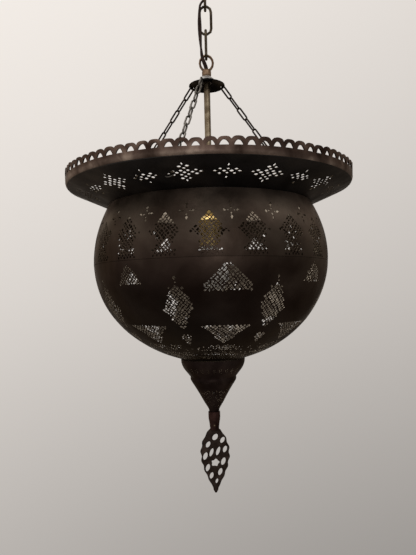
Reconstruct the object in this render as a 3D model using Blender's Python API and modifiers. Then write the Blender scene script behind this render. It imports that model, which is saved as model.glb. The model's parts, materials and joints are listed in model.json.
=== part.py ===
"""A pierced brass hanging lamp: a round pierced bowl with a wide brim hangs on three chains from a
plate on a tube, and the tube hangs on long links from a hook in the ceiling.

Units are metres, +Z is up, and the ceiling is the plane z = 0. The links, the lamp, the shade, the
bulb and the leaf at the bottom each move, so each has its origin on its own axis.
"""

import math

import bmesh
import bpy
from mathutils import Matrix, Vector

MM = 0.001

# Clearances
GAP = 0.3 * MM
HOLE_SLACK = 0.3 * MM
LINK_PLAY = 0.4 * MM

# Ceiling fitting
CEILING_PLATE_RADIUS = 30 * MM
CEILING_PLATE_THICKNESS = 4 * MM
CEILING_PLATE_SKIN = 1.2 * MM
SCREW_HOLE_RADIUS = 2.2 * MM
SCREW_HOLE_PLACE = 22 * MM
ROSE_RADIUS = 46 * MM
ROSE_DEPTH = 18 * MM
ROSE_WALL = 1.2 * MM
ROSE_FLAT_RADIUS = 31 * MM
BUSH_PLACE = 22 * MM
BUSH_FLANGE_RADIUS = 6.6 * MM
BUSH_FLANGE_THICKNESS = 1.6 * MM
BUSH_NECK_RADIUS = 4.8 * MM
HOOK_WIRE = 2.5 * MM
HOOK_BEND = 10.5 * MM
HOOK_DROP = 46.4 * MM
HOOK_MOUTH = math.radians(62)

# Long links of the top chain
LINK_WIRE = 2.2 * MM
LINK_LENGTH = 44.9 * MM
LINK_HALF_WIDTH = 9.3 * MM

# Twisted two-core cord
CORD_RADIUS = 3.0 * MM
CORD_ROUTE = [
    (22.0, 0.0, -11.0),
    (22.0, 0.0, -23.0),
    (20.6, -0.3, -33.0),
    (15.2, -0.8, -43.5),
    (9.8, -0.8, -52.0),
    (6.6, -0.5, -58.0),
    (3.4, 0.0, -63.5),
    (-0.2, -0.2, -69.0),
    (-4.8, -3.4, -75.0),
    (-8.2, -5.7, -82.0),
    (-9.4, -6.2, -92.0),
    (-9.6, -6.3, -105.0),
    (-9.5, -6.2, -118.0),
    (-9.2, -6.1, -130.0),
    (-8.6, -5.9, -145.0),
    (-7.7, -5.9, -155.5),
    (-7.0, -5.5, -163.5),
    (-4.9, -3.9, -171.0),
    (-2.0, -1.6, -177.8),
    (-0.2, -0.15, -184.5),
    (0.0, 0.0, -191.0),
    (0.0, 0.0, -202.0),
]
CORD_CUT_SHARE = 0.45
CORD_STEPS_PER_SPAN = 2
CORD_END_IN_HOLDER = 8 * MM

# Loop that the lamp hangs by, its hub and the collar under it
LOOP_WIRE = 2.1 * MM
LOOP_HALF_WIDTH = 10.7 * MM
LOOP_HALF_HEIGHT = 12.6 * MM
HUB_RADIUS = 7.5 * MM
HUB_HEIGHT = 11.5 * MM
HUB_OVER_LOOP = 1.9 * MM
HUB_THREAD_DEPTH = 8.0 * MM
WIREWAY_RADIUS = 3.5 * MM
COLLAR_HEIGHT = 5.2 * MM
COLLAR_RADIUS = 12 * MM

# Stem and its nut
STEM_RADIUS = 5.15 * MM
STEM_WALL = 1.3 * MM
NUT_ACROSS_FLATS = 15 * MM
NUT_HEIGHT = 3.6 * MM

# Dished plate that carries the three chains
PLATE_RADIUS = 29.5 * MM
PLATE_RISE = 9.7 * MM
PLATE_WALL = 1.0 * MM
PLATE_FLAT_RADIUS = 9.5 * MM
PLATE_HOLE_INSET = 3.6 * MM
PLATE_HOLE_RADIUS = 1.9 * MM

# Three chains
CHAIN_AZIMUTHS = [math.radians(a) for a in (-16, 112, -118)]
CHAIN_WIRE = 1.1 * MM
CHAIN_HALF_WIDTH = 3.4 * MM
CHAIN_LINKS = 11
SINGLE_LINKS = 7
PAIR_BITE = 0.7 * MM
BRIM_RING_WIRE = 1.0 * MM
BRIM_RING_RADIUS = 6.6 * MM
BRIM_RING_INSET = 38.6 * MM
BRIM_RING_HOLE_RADIUS = 2.9 * MM

# Shade: brim, gallery and bowl
SHADE_DROP = 287.5 * MM
SHEET = 1.0 * MM
BOWL_RADIUS = 188 * MM
BOWL_UPPER_HEIGHT = 180 * MM
BOWL_LOWER_HEIGHT = 164 * MM
NECK_HEIGHT = 89 * MM
BOWL_MOUTH_RADIUS = 49 * MM
LAP = 5 * MM
BRIM_RADIUS = 228.6 * MM
BRIM_HEIGHT = 117.5 * MM
BRIM_COLLAR = 6 * MM
GALLERY_WALL = 1.2 * MM
GALLERY_HEIGHT = 23 * MM
GALLERY_LIP = 7 * MM
ARCH_COUNT = 82
ARCH_SHIFT = 0.1
ARCH_WIDTH = 0.58
ARCH_SILL = 10.2 * MM
ARCH_HEIGHT = 7.2 * MM
NOTCH_WIDTH = 0.42
NOTCH_DEPTH = 4.8 * MM

# Piercing: counts round the shade, and each figure's place and size
BRIM_MOTIFS = 22
BRIM_MOTIF_INSET = 29.6 * MM
BRIM_MOTIF_HALF_HEIGHT = 7 * MM
BRIM_MOTIF_HALF_WIDTHS = (7 * MM, 11 * MM)
UPPER_MOTIFS = 19
LOWER_MOTIFS = 8
LOWER_PHASE = math.radians(7)
TREE_CROWN = (40 * MM, 11 * MM, 11 * MM)
TREE_FOOT = (13 * MM, 10 * MM, 9 * MM)
PEAK_ROW_HEIGHTS = (-23 * MM, -40 * MM)
PEAK_PITCH = 30 * MM
PEAK_HALF_WIDTH = 12 * MM
PEAK_HALF_HEIGHT = 6.5 * MM
LOZENGE_TOP = -48 * MM
LOZENGE_MIDDLE = -69 * MM
LOZENGE_FOOT = -90 * MM
LOZENGE_ASIDE = 12 * MM
LOZENGE_HALF_WIDTH = 9 * MM
LOZENGE_HALF_HEIGHT = 10 * MM
HANGING_PEAK_HEIGHT = -106 * MM
HANGING_PEAK_HALF_WIDTH = 16 * MM
HANGING_PEAK_HALF_HEIGHT = 9 * MM
HOLE_DEPTH = 14 * MM

# Finial: cup, cone, socket and leaf
CUP_RADIUS = 52.3 * MM
CUP_DEPTH = 29 * MM
CUP_FOOT_RADIUS = 37 * MM
LEDGE_HEIGHT = 7 * MM
CONE_HEIGHT = 51 * MM
CONE_TIP_RADIUS = 8 * MM
CONE_WALL = 1.2 * MM
SPIGOT_HEIGHT = 4 * MM
SOCKET_TOP_RADIUS = 9.7 * MM
SOCKET_FOOT_RADIUS = 7.4 * MM
SOCKET_HEIGHT = 30 * MM
SOCKET_SLOT_DEPTH = 14.5 * MM
PIN_RADIUS = 1.2 * MM
PIN_PLAY = 0.2 * MM
PIN_STANDS_OUT = 1.5 * MM
PIN_ABOVE_FOOT = 8.5 * MM
LEAF_THICKNESS = 2.6 * MM
LEAF_TONGUE_RADIUS = 4.2 * MM
LEAF_LENGTH = 103 * MM
LEAF_HALF_WIDTH = 23.7 * MM
LEAF_START = 9 * MM
LEAF_SHOULDER = 0.08
LEAF_HOLE_POINTS = 8

# Lampholder and bulb
HOLDER_ABOVE_SEAM = 84 * MM
HOLDER_RADIUS = 19 * MM
HOLDER_WALL = 0.9 * MM
HOLDER_CAP_HEIGHT = 22 * MM
HOLDER_NECK_RADIUS = 8.4 * MM
HOLDER_NECK_HEIGHT = 8 * MM
HOLDER_SHELL_HEIGHT = 37 * MM
LINER_TOP = 6 * MM
BULB_CAP_RADIUS = 13.2 * MM
BULB_CAP_HEIGHT = 25 * MM
BULB_CAP_WALL = 0.6 * MM
BULB_RADIUS = 30 * MM
BULB_LENGTH = 84 * MM
GLASS_WALL = 1.0 * MM

# Facets
FINE_STEPS = 32
GALLERY_STEPS = ARCH_COUNT // 2
UPPER_ROWS = 4
LOWER_ROWS = 6
STEM_STEPS = 16
RING_POINTS = 12
SMALL_STEPS = 16

for old in list(bpy.data.objects):
    bpy.data.objects.remove(old)


def new_collection(name):
    collection = bpy.data.collections.new(name)
    bpy.context.scene.collection.children.link(collection)
    return collection


PARTS = new_collection("pierced_brass_lamp")
CUTTERS = new_collection("cutters")


def make_material(name, colour, roughness, metallic):
    material = bpy.data.materials.new(name)
    material.use_nodes = True
    shader = material.node_tree.nodes["Principled BSDF"]
    shader.inputs["Base Color"].default_value = (*colour, 1)
    shader.inputs["Roughness"].default_value = roughness
    shader.inputs["Metallic"].default_value = metallic
    return material


AGED_BRASS = make_material("aged_brass", (0.07, 0.05, 0.035), 0.45, 0.85)
RIM_BRASS = make_material("reddish_brass", (0.19, 0.12, 0.09), 0.5, 0.75)
BRIGHT_BRASS = make_material("bright_brass", (0.42, 0.31, 0.16), 0.32, 0.95)
BLACK_METAL = make_material("black_metal", (0.02, 0.02, 0.022), 0.4, 0.7)
DARK_WIRE = make_material("dark_wire", (0.06, 0.05, 0.045), 0.45, 0.85)
CORD_BROWN = make_material("cord_brown", (0.07, 0.03, 0.02), 0.6, 0.0)
COPPER_BROWN = make_material("copper_brown", (0.12, 0.05, 0.035), 0.5, 0.7)
PORCELAIN = make_material("porcelain", (0.8, 0.78, 0.72), 0.3, 0.0)
ALUMINIUM = make_material("aluminium", (0.7, 0.7, 0.7), 0.35, 1.0)
GLASS = make_material("frosted_glass", (0.9, 0.9, 0.88), 0.3, 0.0)


def polar(radius, azimuth, height):
    """A point at an azimuth that is 0 at the front, -Y, and grows towards +X."""
    return Vector((radius * math.sin(azimuth), -radius * math.cos(azimuth), height))


def add_object(name, data, material=None, collection=PARTS):
    shape = bpy.data.objects.new(name, data)
    collection.objects.link(shape)
    if material is not None and not data.materials:
        data.materials.append(material)
    if collection == CUTTERS:
        shape.hide_render = True
        shape.display_type = "WIRE"
    return shape


def hang(name, carrier, height, pieces):
    """An empty at a joint's height on the axis, with the pieces that turn about it as children."""
    pivot = bpy.data.objects.new(name, None)
    PARTS.objects.link(pivot)
    pivot.location.z = height
    bpy.context.view_layer.update()
    for piece in pieces:
        piece.parent = pivot
        piece.matrix_parent_inverse = pivot.matrix_world.inverted()
    if carrier is not None:
        pivot.parent = carrier
        pivot.matrix_parent_inverse = carrier.matrix_world.inverted()
    return pivot


def smooth(mesh, angle=40):
    mesh.shade_smooth()
    mesh.set_sharp_from_angle(angle=math.radians(angle))


def evaluated_mesh(shape, name):
    """The mesh of an object with its modifiers or its bevel, with its caps welded."""
    bpy.context.view_layer.update()
    graph = bpy.context.evaluated_depsgraph_get()
    mesh = bpy.data.meshes.new_from_object(shape.evaluated_get(graph))
    mesh.name = name
    welder = bmesh.new()
    welder.from_mesh(mesh)
    bmesh.ops.remove_doubles(welder, verts=welder.verts, dist=1e-7)
    welder.to_mesh(mesh)
    welder.free()
    return mesh


def turned(name, outline, material=None, steps=SMALL_STEPS, closed=True, collection=PARTS):
    """A turned solid. The outline's (radius, height) points run down its outer side."""
    mesh = bpy.data.meshes.new(name)
    edges = [(i, i + 1) for i in range(len(outline) - 1)]
    if closed:
        edges.append((len(outline) - 1, 0))
    mesh.from_pydata([(r, 0, z) for r, z in outline], edges, [])
    shape = add_object(name, mesh, material, collection)
    screw = shape.modifiers.new("turn", "SCREW")
    screw.axis = "Z"
    screw.angle = math.tau
    screw.steps = steps
    screw.render_steps = steps
    screw.use_merge_vertices = True
    screw.merge_threshold = 0.00001
    screw.use_smooth_shade = True
    return shape


def wire(name, points, radius, material=None, cyclic=False, sides=6, collection=PARTS):
    """A round wire along points, as a curve with filled ends."""
    curve = bpy.data.curves.new(name, "CURVE")
    curve.dimensions = "3D"
    curve.bevel_depth = radius
    curve.bevel_resolution = (sides - 4) // 2
    curve.use_fill_caps = not cyclic
    spline = curve.splines.new("POLY")
    spline.points.add(len(points) - 1)
    for spot, point in zip(spline.points, points):
        spot.co = (*point, 1)
    spline.use_cyclic_u = cyclic
    return add_object(name, curve, material, collection)


def wire_mesh(name, points, radius, cyclic=False, sides=6):
    """The welded mesh of such a wire, for pieces that are joined, cut or repeated."""
    guide = wire(name + "_guide", points, radius, None, cyclic, sides, CUTTERS)
    mesh = evaluated_mesh(guide, name)
    smooth(mesh, 60)
    bpy.data.objects.remove(guide)
    return mesh


def link_path(length, half_width, points_per_end):
    """A long link in its own XZ plane: its top's centreline is at the origin.

    Each end has an even number of points, so its middle facet lies flat at the full length.
    """
    path = []
    step = math.pi / (points_per_end - 1)
    straight = length - 2 * half_width
    for end, centre in ((0, -half_width), (1, -half_width - straight)):
        for i in range(points_per_end):
            angle = math.pi * end + i * step
            inside = 0 < i < points_per_end - 1
            reach = half_width / math.cos(0.5 * step) if inside else half_width
            path.append((reach * math.cos(angle), 0, centre + reach * math.sin(angle)))
    return path


def boolean(shape, other, operation="DIFFERENCE"):
    modifier = shape.modifiers.new(operation.lower(), "BOOLEAN")
    modifier.operation = operation
    modifier.solver = "EXACT"
    modifier.object = other
    return modifier


def stamp(name, outline):
    """A punch: a flat outline given thickness, as a mesh to be repeated in cutters."""
    curve = bpy.data.curves.new(name, "CURVE")
    curve.dimensions = "2D"
    curve.fill_mode = "BOTH"
    curve.extrude = 0.5 * HOLE_DEPTH
    add_outline(curve, outline)
    guide = add_object(name, curve, None, CUTTERS)
    mesh = evaluated_mesh(guide, name)
    bpy.data.objects.remove(guide)
    return mesh


def add_outline(curve, points):
    spline = curve.splines.new("POLY")
    spline.points.add(len(points) - 1)
    for spot, (x, y) in zip(spline.points, points):
        spot.co = (x, y, 0, 1)
    spline.use_cyclic_u = True


def circle_angles(count):
    return [math.tau * i / count for i in range(count)]


def round_outline(count):
    return [(math.cos(a), math.sin(a)) for a in circle_angles(count)]


def punched(name, places):
    """One cutter made of many punches. A place is (frame, stamp, half_width, half_height)."""
    shaper = bmesh.new()
    for frame, mesh, half_width, half_height in places:
        first = len(shaper.verts)
        shaper.from_mesh(mesh)
        shaper.verts.ensure_lookup_table()
        spread = frame @ Matrix.Diagonal((half_width, half_height, 1, 1))
        bmesh.ops.transform(shaper, matrix=spread, verts=shaper.verts[first:])
    mesh = bpy.data.meshes.new(name)
    shaper.to_mesh(mesh)
    shaper.free()
    return add_object(name, mesh, None, CUTTERS)


def facing(point, outward):
    """A frame whose Z looks outward and whose Y runs up the surface."""
    side = Vector((0, 0, 1)).cross(outward).normalized()
    up = outward.cross(side).normalized()
    turn = Matrix((side, up, outward)).transposed().to_4x4()
    return Matrix.Translation(point) @ turn


ROUND_PUNCH = stamp("round_punch", round_outline(8))
BORE_PUNCH = stamp("bore_punch", round_outline(STEM_STEPS))
DIAMOND_PUNCH = stamp("diamond_punch", [(0, -1), (1, 0), (0, 1), (-1, 0)])
PEAK_PUNCH = stamp("peak_punch", [(-1, -1), (1, -1), (0, 1)])
NOTCH_PUNCH = stamp("notch_punch", [(-1, 1), (0, -1), (1, 1)])
ARCH_PUNCH = stamp("arch_punch", [(-1, 0), (1, 0), (0.56, 1), (-0.56, 1)])


# Heights, worked out from the ceiling down
hook_bottom = -HOOK_DROP
link_a_top = hook_bottom + HOOK_WIRE + LINK_WIRE + LINK_PLAY
link_step = LINK_LENGTH - 2 * LINK_WIRE - LINK_PLAY
link_b_top = link_a_top - link_step
link_c_top = link_b_top - link_step
link_a_bottom = link_a_top - LINK_LENGTH
link_b_bottom = link_b_top - LINK_LENGTH
link_c_bottom = link_c_top - LINK_LENGTH
loop_top = link_c_bottom + LINK_WIRE + LOOP_WIRE + LINK_PLAY
loop_centre = loop_top - LOOP_HALF_HEIGHT
hub_top = loop_centre - LOOP_HALF_HEIGHT + HUB_OVER_LOOP
hub_bottom = hub_top - HUB_HEIGHT
collar_top = hub_bottom - GAP
collar_bottom = collar_top - COLLAR_HEIGHT
plate_top = collar_bottom - GAP
plate_rim = plate_top - PLATE_RISE
nut_top = plate_top - PLATE_WALL - GAP
seam = plate_rim - SHADE_DROP
neck = seam + NECK_HEIGHT
brim_edge = seam + BRIM_HEIGHT
holder_top = seam + HOLDER_ABOVE_SEAM
shell_top = holder_top - HOLDER_CAP_HEIGHT - GAP
shell_bottom = shell_top - HOLDER_SHELL_HEIGHT


def bowl_point(height, inset=0.0):
    """The bowl's outline at a height over the seam, as (radius, z, normal in that plane)."""
    rise = BOWL_UPPER_HEIGHT if height >= 0 else BOWL_LOWER_HEIGHT
    angle = math.asin(max(-1.0, min(1.0, height / rise)))
    radius = BOWL_RADIUS * math.cos(angle)
    normal = Vector((math.cos(angle) / BOWL_RADIUS, math.sin(angle) / rise)).normalized()
    return radius - inset * normal.x, seam + height - inset * normal.y, normal


bowl_mouth_height = -BOWL_LOWER_HEIGHT * math.sqrt(1 - (BOWL_MOUTH_RADIUS / BOWL_RADIUS) ** 2)
neck_radius = bowl_point(NECK_HEIGHT)[0]
brim_slope = Vector((BRIM_RADIUS - neck_radius, BRIM_HEIGHT - NECK_HEIGHT)).normalized()
brim_normal = Vector((brim_slope.y, -brim_slope.x))


def brim_point(radius):
    """A point of the brim's lower face at a radius, as (radius, z)."""
    return radius, neck + (radius - neck_radius) * brim_slope.y / brim_slope.x


# Ceiling fitting


def build_ceiling_plate():
    """The plate screwed to the ceiling, with a blind hole from below for the hook's shank."""
    plate = turned(
        "ceiling_plate",
        [
            (0, 0),
            (CEILING_PLATE_RADIUS, 0),
            (CEILING_PLATE_RADIUS, -CEILING_PLATE_THICKNESS),
            (HOOK_WIRE + HOLE_SLACK, -CEILING_PLATE_THICKNESS),
            (HOOK_WIRE + HOLE_SLACK, -CEILING_PLATE_SKIN),
            (0, -CEILING_PLATE_SKIN),
        ],
        DARK_WIRE,
        closed=False,
    )
    holes = []
    for side in (-1, 1):
        place = Matrix.Translation((0, side * SCREW_HOLE_PLACE, 0))
        holes.append((place, ROUND_PUNCH, SCREW_HOLE_RADIUS, SCREW_HOLE_RADIUS))
    boolean(plate, punched("screw_hole_cutter", holes))
    return plate


def build_rose():
    inner = ROSE_WALL
    rose = turned(
        "ceiling_rose",
        [
            (ROSE_RADIUS, 0),
            (ROSE_RADIUS, -0.35 * ROSE_DEPTH),
            (0.5 * (ROSE_RADIUS + ROSE_FLAT_RADIUS) + 3 * MM, -0.82 * ROSE_DEPTH),
            (ROSE_FLAT_RADIUS, -ROSE_DEPTH),
            (HOOK_WIRE + HOLE_SLACK, -ROSE_DEPTH),
            (HOOK_WIRE + HOLE_SLACK, -ROSE_DEPTH + inner),
            (ROSE_FLAT_RADIUS - 0.2 * inner, -ROSE_DEPTH + inner),
            (0.5 * (ROSE_RADIUS + ROSE_FLAT_RADIUS) + 2.2 * MM, -0.82 * ROSE_DEPTH + inner),
            (ROSE_RADIUS - inner, -0.35 * ROSE_DEPTH + 0.4 * inner),
            (ROSE_RADIUS - inner, 0),
        ],
        BRIGHT_BRASS,
    )
    place = Matrix.Translation((BUSH_PLACE, 0, -ROSE_DEPTH))
    radius = BUSH_NECK_RADIUS + HOLE_SLACK
    boolean(rose, punched("bush_hole_cutter", [(place, BORE_PUNCH, radius, radius)]))
    return rose


def build_cord_bush():
    bore = CORD_RADIUS + HOLE_SLACK
    flange_top = -ROSE_DEPTH - GAP
    flange_bottom = flange_top - BUSH_FLANGE_THICKNESS
    neck_top = -ROSE_DEPTH + ROSE_WALL + GAP
    bush = turned(
        "cord_bush",
        [
            (BUSH_NECK_RADIUS, neck_top),
            (BUSH_NECK_RADIUS, flange_top),
            (BUSH_FLANGE_RADIUS, flange_top),
            (BUSH_FLANGE_RADIUS, flange_bottom),
            (bore, flange_bottom),
            (bore, neck_top),
        ],
        BLACK_METAL,
        12,
    )
    bush.location.x = BUSH_PLACE
    return bush


def build_hook():
    """A screw hook: the shank drops from the plate, bends aside and runs round under the axis."""
    centre = hook_bottom + HOOK_BEND
    start = math.radians(118)
    finish = math.tau + math.pi / 2 - HOOK_MOUTH
    points = [
        (0, 0, -CEILING_PLATE_SKIN - GAP),
        (0, 0, centre + 1.42 * HOOK_BEND),
        (-0.12 * HOOK_BEND, 0, centre + 1.16 * HOOK_BEND),
    ]
    turns = 13
    for i in range(turns):
        angle = start + (finish - start) * i / (turns - 1)
        points.append((HOOK_BEND * math.cos(angle), 0, centre + HOOK_BEND * math.sin(angle)))
    return wire("ceiling_hook", points, HOOK_WIRE, DARK_WIRE, sides=8)


# Top chain


def build_links():
    mesh = wire_mesh("long_link", link_path(LINK_LENGTH, LINK_HALF_WIDTH, 6), LINK_WIRE, True, 8)
    mesh.materials.append(DARK_WIRE)
    links = []
    for name, top, quarter in (
        ("top_link_a", link_a_top, math.pi / 2),
        ("top_link_b", link_b_top, 0),
        ("top_link_c", link_c_top, math.pi / 2),
    ):
        link = add_object(name, mesh)
        link.location.z = top
        link.rotation_euler.z = quarter
        links.append(link)
    return links


def cord_curve():
    """Points read from a smooth curve through the cord's route, one list for each span."""
    route = [Vector(p) * MM for p in CORD_ROUTE]
    ends = [2 * route[0] - route[1]] + route + [2 * route[-1] - route[-2]]
    spans = []
    for a, b, c, d in zip(ends, ends[1:], ends[2:], ends[3:]):
        span = []
        for i in range(CORD_STEPS_PER_SPAN):
            t = i / CORD_STEPS_PER_SPAN
            span.append(
                0.5 * (2 * b + (c - a) * t + (2 * a - 5 * b + 4 * c - d) * t**2
                       + (3 * b - a - 3 * c + d) * t**3)
            )
        spans.append(span)
    return spans, route[-1]


def cord_cuts(spans):
    """The spans at which the cord is divided: near the middle of each long link."""
    joints = [hook_bottom, link_a_bottom, link_b_bottom, link_c_bottom]
    cuts = [0]
    for above, below in zip(joints, joints[1:]):
        height = above + CORD_CUT_SHARE * (below - above)
        cuts.append(min(range(len(spans)), key=lambda i: abs(spans[i][0].z - height)))
    return cuts + [len(spans)]


def build_cord():
    """The cord in four lengths, one for each joint of the chain that it passes."""
    spans, last = cord_curve()
    holder_end = Vector((0, 0, holder_top - CORD_END_IN_HOLDER))
    cuts = cord_cuts(spans)
    lengths = []
    for number, (first, after) in enumerate(zip(cuts, cuts[1:]), 1):
        points = [p for span in spans[first:after] for p in span]
        if after < len(spans):
            finish = spans[after][0]
            points.append(finish + (points[-1] - finish).normalized() * GAP)
        else:
            points += [last, holder_end]
        lengths.append(wire(f"cord_{number}", points, CORD_RADIUS, CORD_BROWN, sides=8))
    return lengths


# Lamp: loop, collar, stem, nut and lampholder


def build_loop():
    hub = turned(
        "suspension_loop",
        [
            (0.72 * HUB_RADIUS, hub_top),
            (HUB_RADIUS, hub_top - 0.25 * HUB_HEIGHT),
            (HUB_RADIUS, hub_bottom + 0.2 * HUB_HEIGHT),
            (0.86 * HUB_RADIUS, hub_bottom),
            (STEM_RADIUS + GAP, hub_bottom),
            (STEM_RADIUS + GAP, hub_bottom + HUB_THREAD_DEPTH),
            (WIREWAY_RADIUS, hub_bottom + HUB_THREAD_DEPTH),
            (WIREWAY_RADIUS, hub_top),
        ],
        BRIGHT_BRASS,
        16,
    )
    turns = 14
    circle = []
    for i in range(turns):
        angle = math.tau * i / turns
        circle.append(
            (LOOP_HALF_WIDTH * math.cos(angle), 0, loop_centre + LOOP_HALF_HEIGHT * math.sin(angle))
        )
    ring = add_object("loop_ring", wire_mesh("loop_ring", circle, LOOP_WIRE, True, 6), None, CUTTERS)
    boolean(hub, ring, "UNION")
    reach = HUB_OVER_LOOP + 3 * LOOP_WIRE
    wireway = turned(
        "wireway_cutter",
        [
            (0, hub_top + reach),
            (WIREWAY_RADIUS, hub_top + reach),
            (WIREWAY_RADIUS, hub_bottom + HUB_THREAD_DEPTH - GAP),
            (0, hub_bottom + HUB_THREAD_DEPTH - GAP),
        ],
        None,
        16,
        False,
        CUTTERS,
    )
    boolean(hub, wireway)
    return hub


def build_collar():
    bore = STEM_RADIUS + GAP
    return turned(
        "plate_collar",
        [
            (bore + 1.2 * MM, collar_top),
            (0.62 * COLLAR_RADIUS, collar_top - 0.35 * COLLAR_HEIGHT),
            (COLLAR_RADIUS, collar_bottom + 0.15 * COLLAR_HEIGHT),
            (COLLAR_RADIUS, collar_bottom),
            (bore, collar_bottom),
            (bore, collar_top),
        ],
        BRIGHT_BRASS,
        16,
    )


def build_stem():
    top = hub_bottom + HUB_THREAD_DEPTH - GAP
    bottom = holder_top - HOLDER_NECK_HEIGHT
    inner = STEM_RADIUS - STEM_WALL
    outline = [(STEM_RADIUS, top), (STEM_RADIUS, bottom), (inner, bottom), (inner, top)]
    return turned("stem_tube", outline, BRIGHT_BRASS, STEM_STEPS)


def build_stem_nut():
    corner = 0.5 * NUT_ACROSS_FLATS / math.cos(math.pi / 6)
    bore = (STEM_RADIUS + GAP) / math.cos(math.pi / STEM_STEPS)
    nut = turned(
        "stem_nut",
        [(0, nut_top), (corner, nut_top), (corner, nut_top - NUT_HEIGHT), (0, nut_top - NUT_HEIGHT)],
        DARK_WIRE,
        6,
        False,
    )
    place = Matrix.Translation((0, 0, nut_top))
    boolean(nut, punched("nut_bore_cutter", [(place, BORE_PUNCH, bore, bore)]))
    return nut


def build_holder_cap():
    bore = STEM_RADIUS + GAP
    shoulder = holder_top - HOLDER_NECK_HEIGHT
    bottom = holder_top - HOLDER_CAP_HEIGHT
    wall = HOLDER_WALL
    return turned(
        "lampholder_cap",
        [
            (HOLDER_NECK_RADIUS, holder_top),
            (HOLDER_NECK_RADIUS, shoulder),
            (0.78 * HOLDER_RADIUS, shoulder - 0.3 * (shoulder - bottom)),
            (HOLDER_RADIUS, bottom + 0.35 * (shoulder - bottom)),
            (HOLDER_RADIUS, bottom),
            (HOLDER_RADIUS - wall, bottom),
            (HOLDER_RADIUS - wall, bottom + 0.33 * (shoulder - bottom)),
            (0.78 * HOLDER_RADIUS - wall, shoulder - 0.3 * (shoulder - bottom) - wall),
            (0.45 * HOLDER_RADIUS, shoulder - wall - GAP),
            (CORD_RADIUS + 2 * HOLE_SLACK, shoulder - wall - GAP),
            (CORD_RADIUS + 2 * HOLE_SLACK, shoulder - GAP),
            (bore, shoulder - GAP),
            (bore, holder_top),
        ],
        BRIGHT_BRASS,
    )


def build_holder_shell():
    lip = 1.6 * MM
    inner = HOLDER_RADIUS - HOLDER_WALL
    return turned(
        "lampholder_shell",
        [
            (HOLDER_RADIUS, shell_top),
            (HOLDER_RADIUS, shell_top - 0.3 * HOLDER_SHELL_HEIGHT),
            (HOLDER_RADIUS - 1 * MM, shell_top - 0.34 * HOLDER_SHELL_HEIGHT),
            (HOLDER_RADIUS - 1 * MM, shell_bottom),
            (inner - 1 * MM - lip, shell_bottom),
            (inner - 1 * MM - lip, shell_bottom + HOLDER_WALL),
            (inner - 1 * MM, shell_bottom + HOLDER_WALL),
            (inner - 1 * MM, shell_top - 0.34 * HOLDER_SHELL_HEIGHT),
            (inner - 1 * MM, shell_top),
        ],
        BRIGHT_BRASS,
    )


liner_outer = HOLDER_RADIUS - HOLDER_WALL - 1 * MM - GAP
liner_bottom = shell_bottom + HOLDER_WALL + GAP
liner_top = shell_top - GAP
liner_bore = BULB_CAP_RADIUS + GAP + 0.2 * MM
cap_top = liner_top - LINER_TOP - 2 * MM - GAP
cap_bottom = cap_top - BULB_CAP_HEIGHT


def build_liner():
    floor = liner_top - LINER_TOP
    hole = 1.6 * MM
    return turned(
        "lampholder_liner",
        [
            (liner_outer, liner_top),
            (liner_outer, liner_bottom),
            (liner_bore, liner_bottom),
            (liner_bore, floor),
            (hole, floor),
            (hole, liner_top),
        ],
        PORCELAIN,
    )


def build_bulb():
    wall = BULB_CAP_WALL
    tip = 4.5 * MM
    tip_height = 1.7 * MM
    cap = turned(
        "bulb_cap",
        [
            (0, cap_top + tip_height),
            (tip, cap_top + tip_height),
            (tip + 1 * MM, cap_top),
            (BULB_CAP_RADIUS - 3 * MM, cap_top - 1 * MM),
            (BULB_CAP_RADIUS, cap_top - 4 * MM),
            (BULB_CAP_RADIUS, cap_bottom),
            (BULB_CAP_RADIUS - wall, cap_bottom),
            (BULB_CAP_RADIUS - wall, cap_top - 5 * MM),
            (0, cap_top - 5 * MM),
        ],
        ALUMINIUM,
        SMALL_STEPS,
        False,
    )
    neck_outer = BULB_CAP_RADIUS - wall - GAP
    neck_top = cap_bottom + 9 * MM
    foot = cap_top + tip_height - BULB_LENGTH - BULB_CAP_HEIGHT
    globe = foot + BULB_RADIUS
    outer = [(neck_outer, neck_top), (neck_outer, cap_bottom - 4 * MM)]
    for degrees in (38, 14, -12, -36, -60, -90):
        angle = math.radians(degrees)
        outer.append((BULB_RADIUS * math.cos(angle), globe + BULB_RADIUS * math.sin(angle)))
    outer[-1] = (0, foot)
    thin = BULB_RADIUS - GLASS_WALL
    inner = [(neck_outer - GLASS_WALL, neck_top), (neck_outer - GLASS_WALL, cap_bottom - 4 * MM)]
    for degrees in (38, 14, -12, -36, -60, -90):
        angle = math.radians(degrees)
        inner.append((thin * math.cos(angle), globe + thin * math.sin(angle)))
    inner[-1] = (0, foot + GLASS_WALL)
    return cap, turned("bulb_glass", outer + inner[::-1], GLASS, SMALL_STEPS)


# Chains


plate_strip = PLATE_RADIUS - 0.5 * (PLATE_HOLE_INSET - PLATE_HOLE_RADIUS)
ring_place = BRIM_RADIUS - BRIM_RING_INSET


def plate_point(radius):
    """The height of the plate's middle surface at a radius."""
    share = (radius - PLATE_FLAT_RADIUS) / (PLATE_RADIUS - PLATE_FLAT_RADIUS)
    return plate_top - 0.5 * PLATE_WALL - (PLATE_RISE - PLATE_WALL) * max(0.0, share)


def build_chain_plate():
    bore = STEM_RADIUS + GAP
    rim_top = plate_point(PLATE_RADIUS) + 0.5 * PLATE_WALL
    plate = turned(
        "chain_plate",
        [
            (PLATE_FLAT_RADIUS, plate_top),
            (PLATE_RADIUS, rim_top),
            (PLATE_RADIUS, rim_top - PLATE_WALL),
            (PLATE_FLAT_RADIUS, plate_top - PLATE_WALL),
            (bore, plate_top - PLATE_WALL),
            (bore, plate_top),
        ],
        BLACK_METAL,
        24,
    )
    holes = []
    radius = PLATE_RADIUS - PLATE_HOLE_INSET
    for azimuth in CHAIN_AZIMUTHS:
        place = Matrix.Translation(polar(radius, azimuth, plate_point(radius)))
        holes.append((place, ROUND_PUNCH, PLATE_HOLE_RADIUS, PLATE_HOLE_RADIUS))
    boolean(plate, punched("chain_hole_cutter", holes))
    return plate


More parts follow.
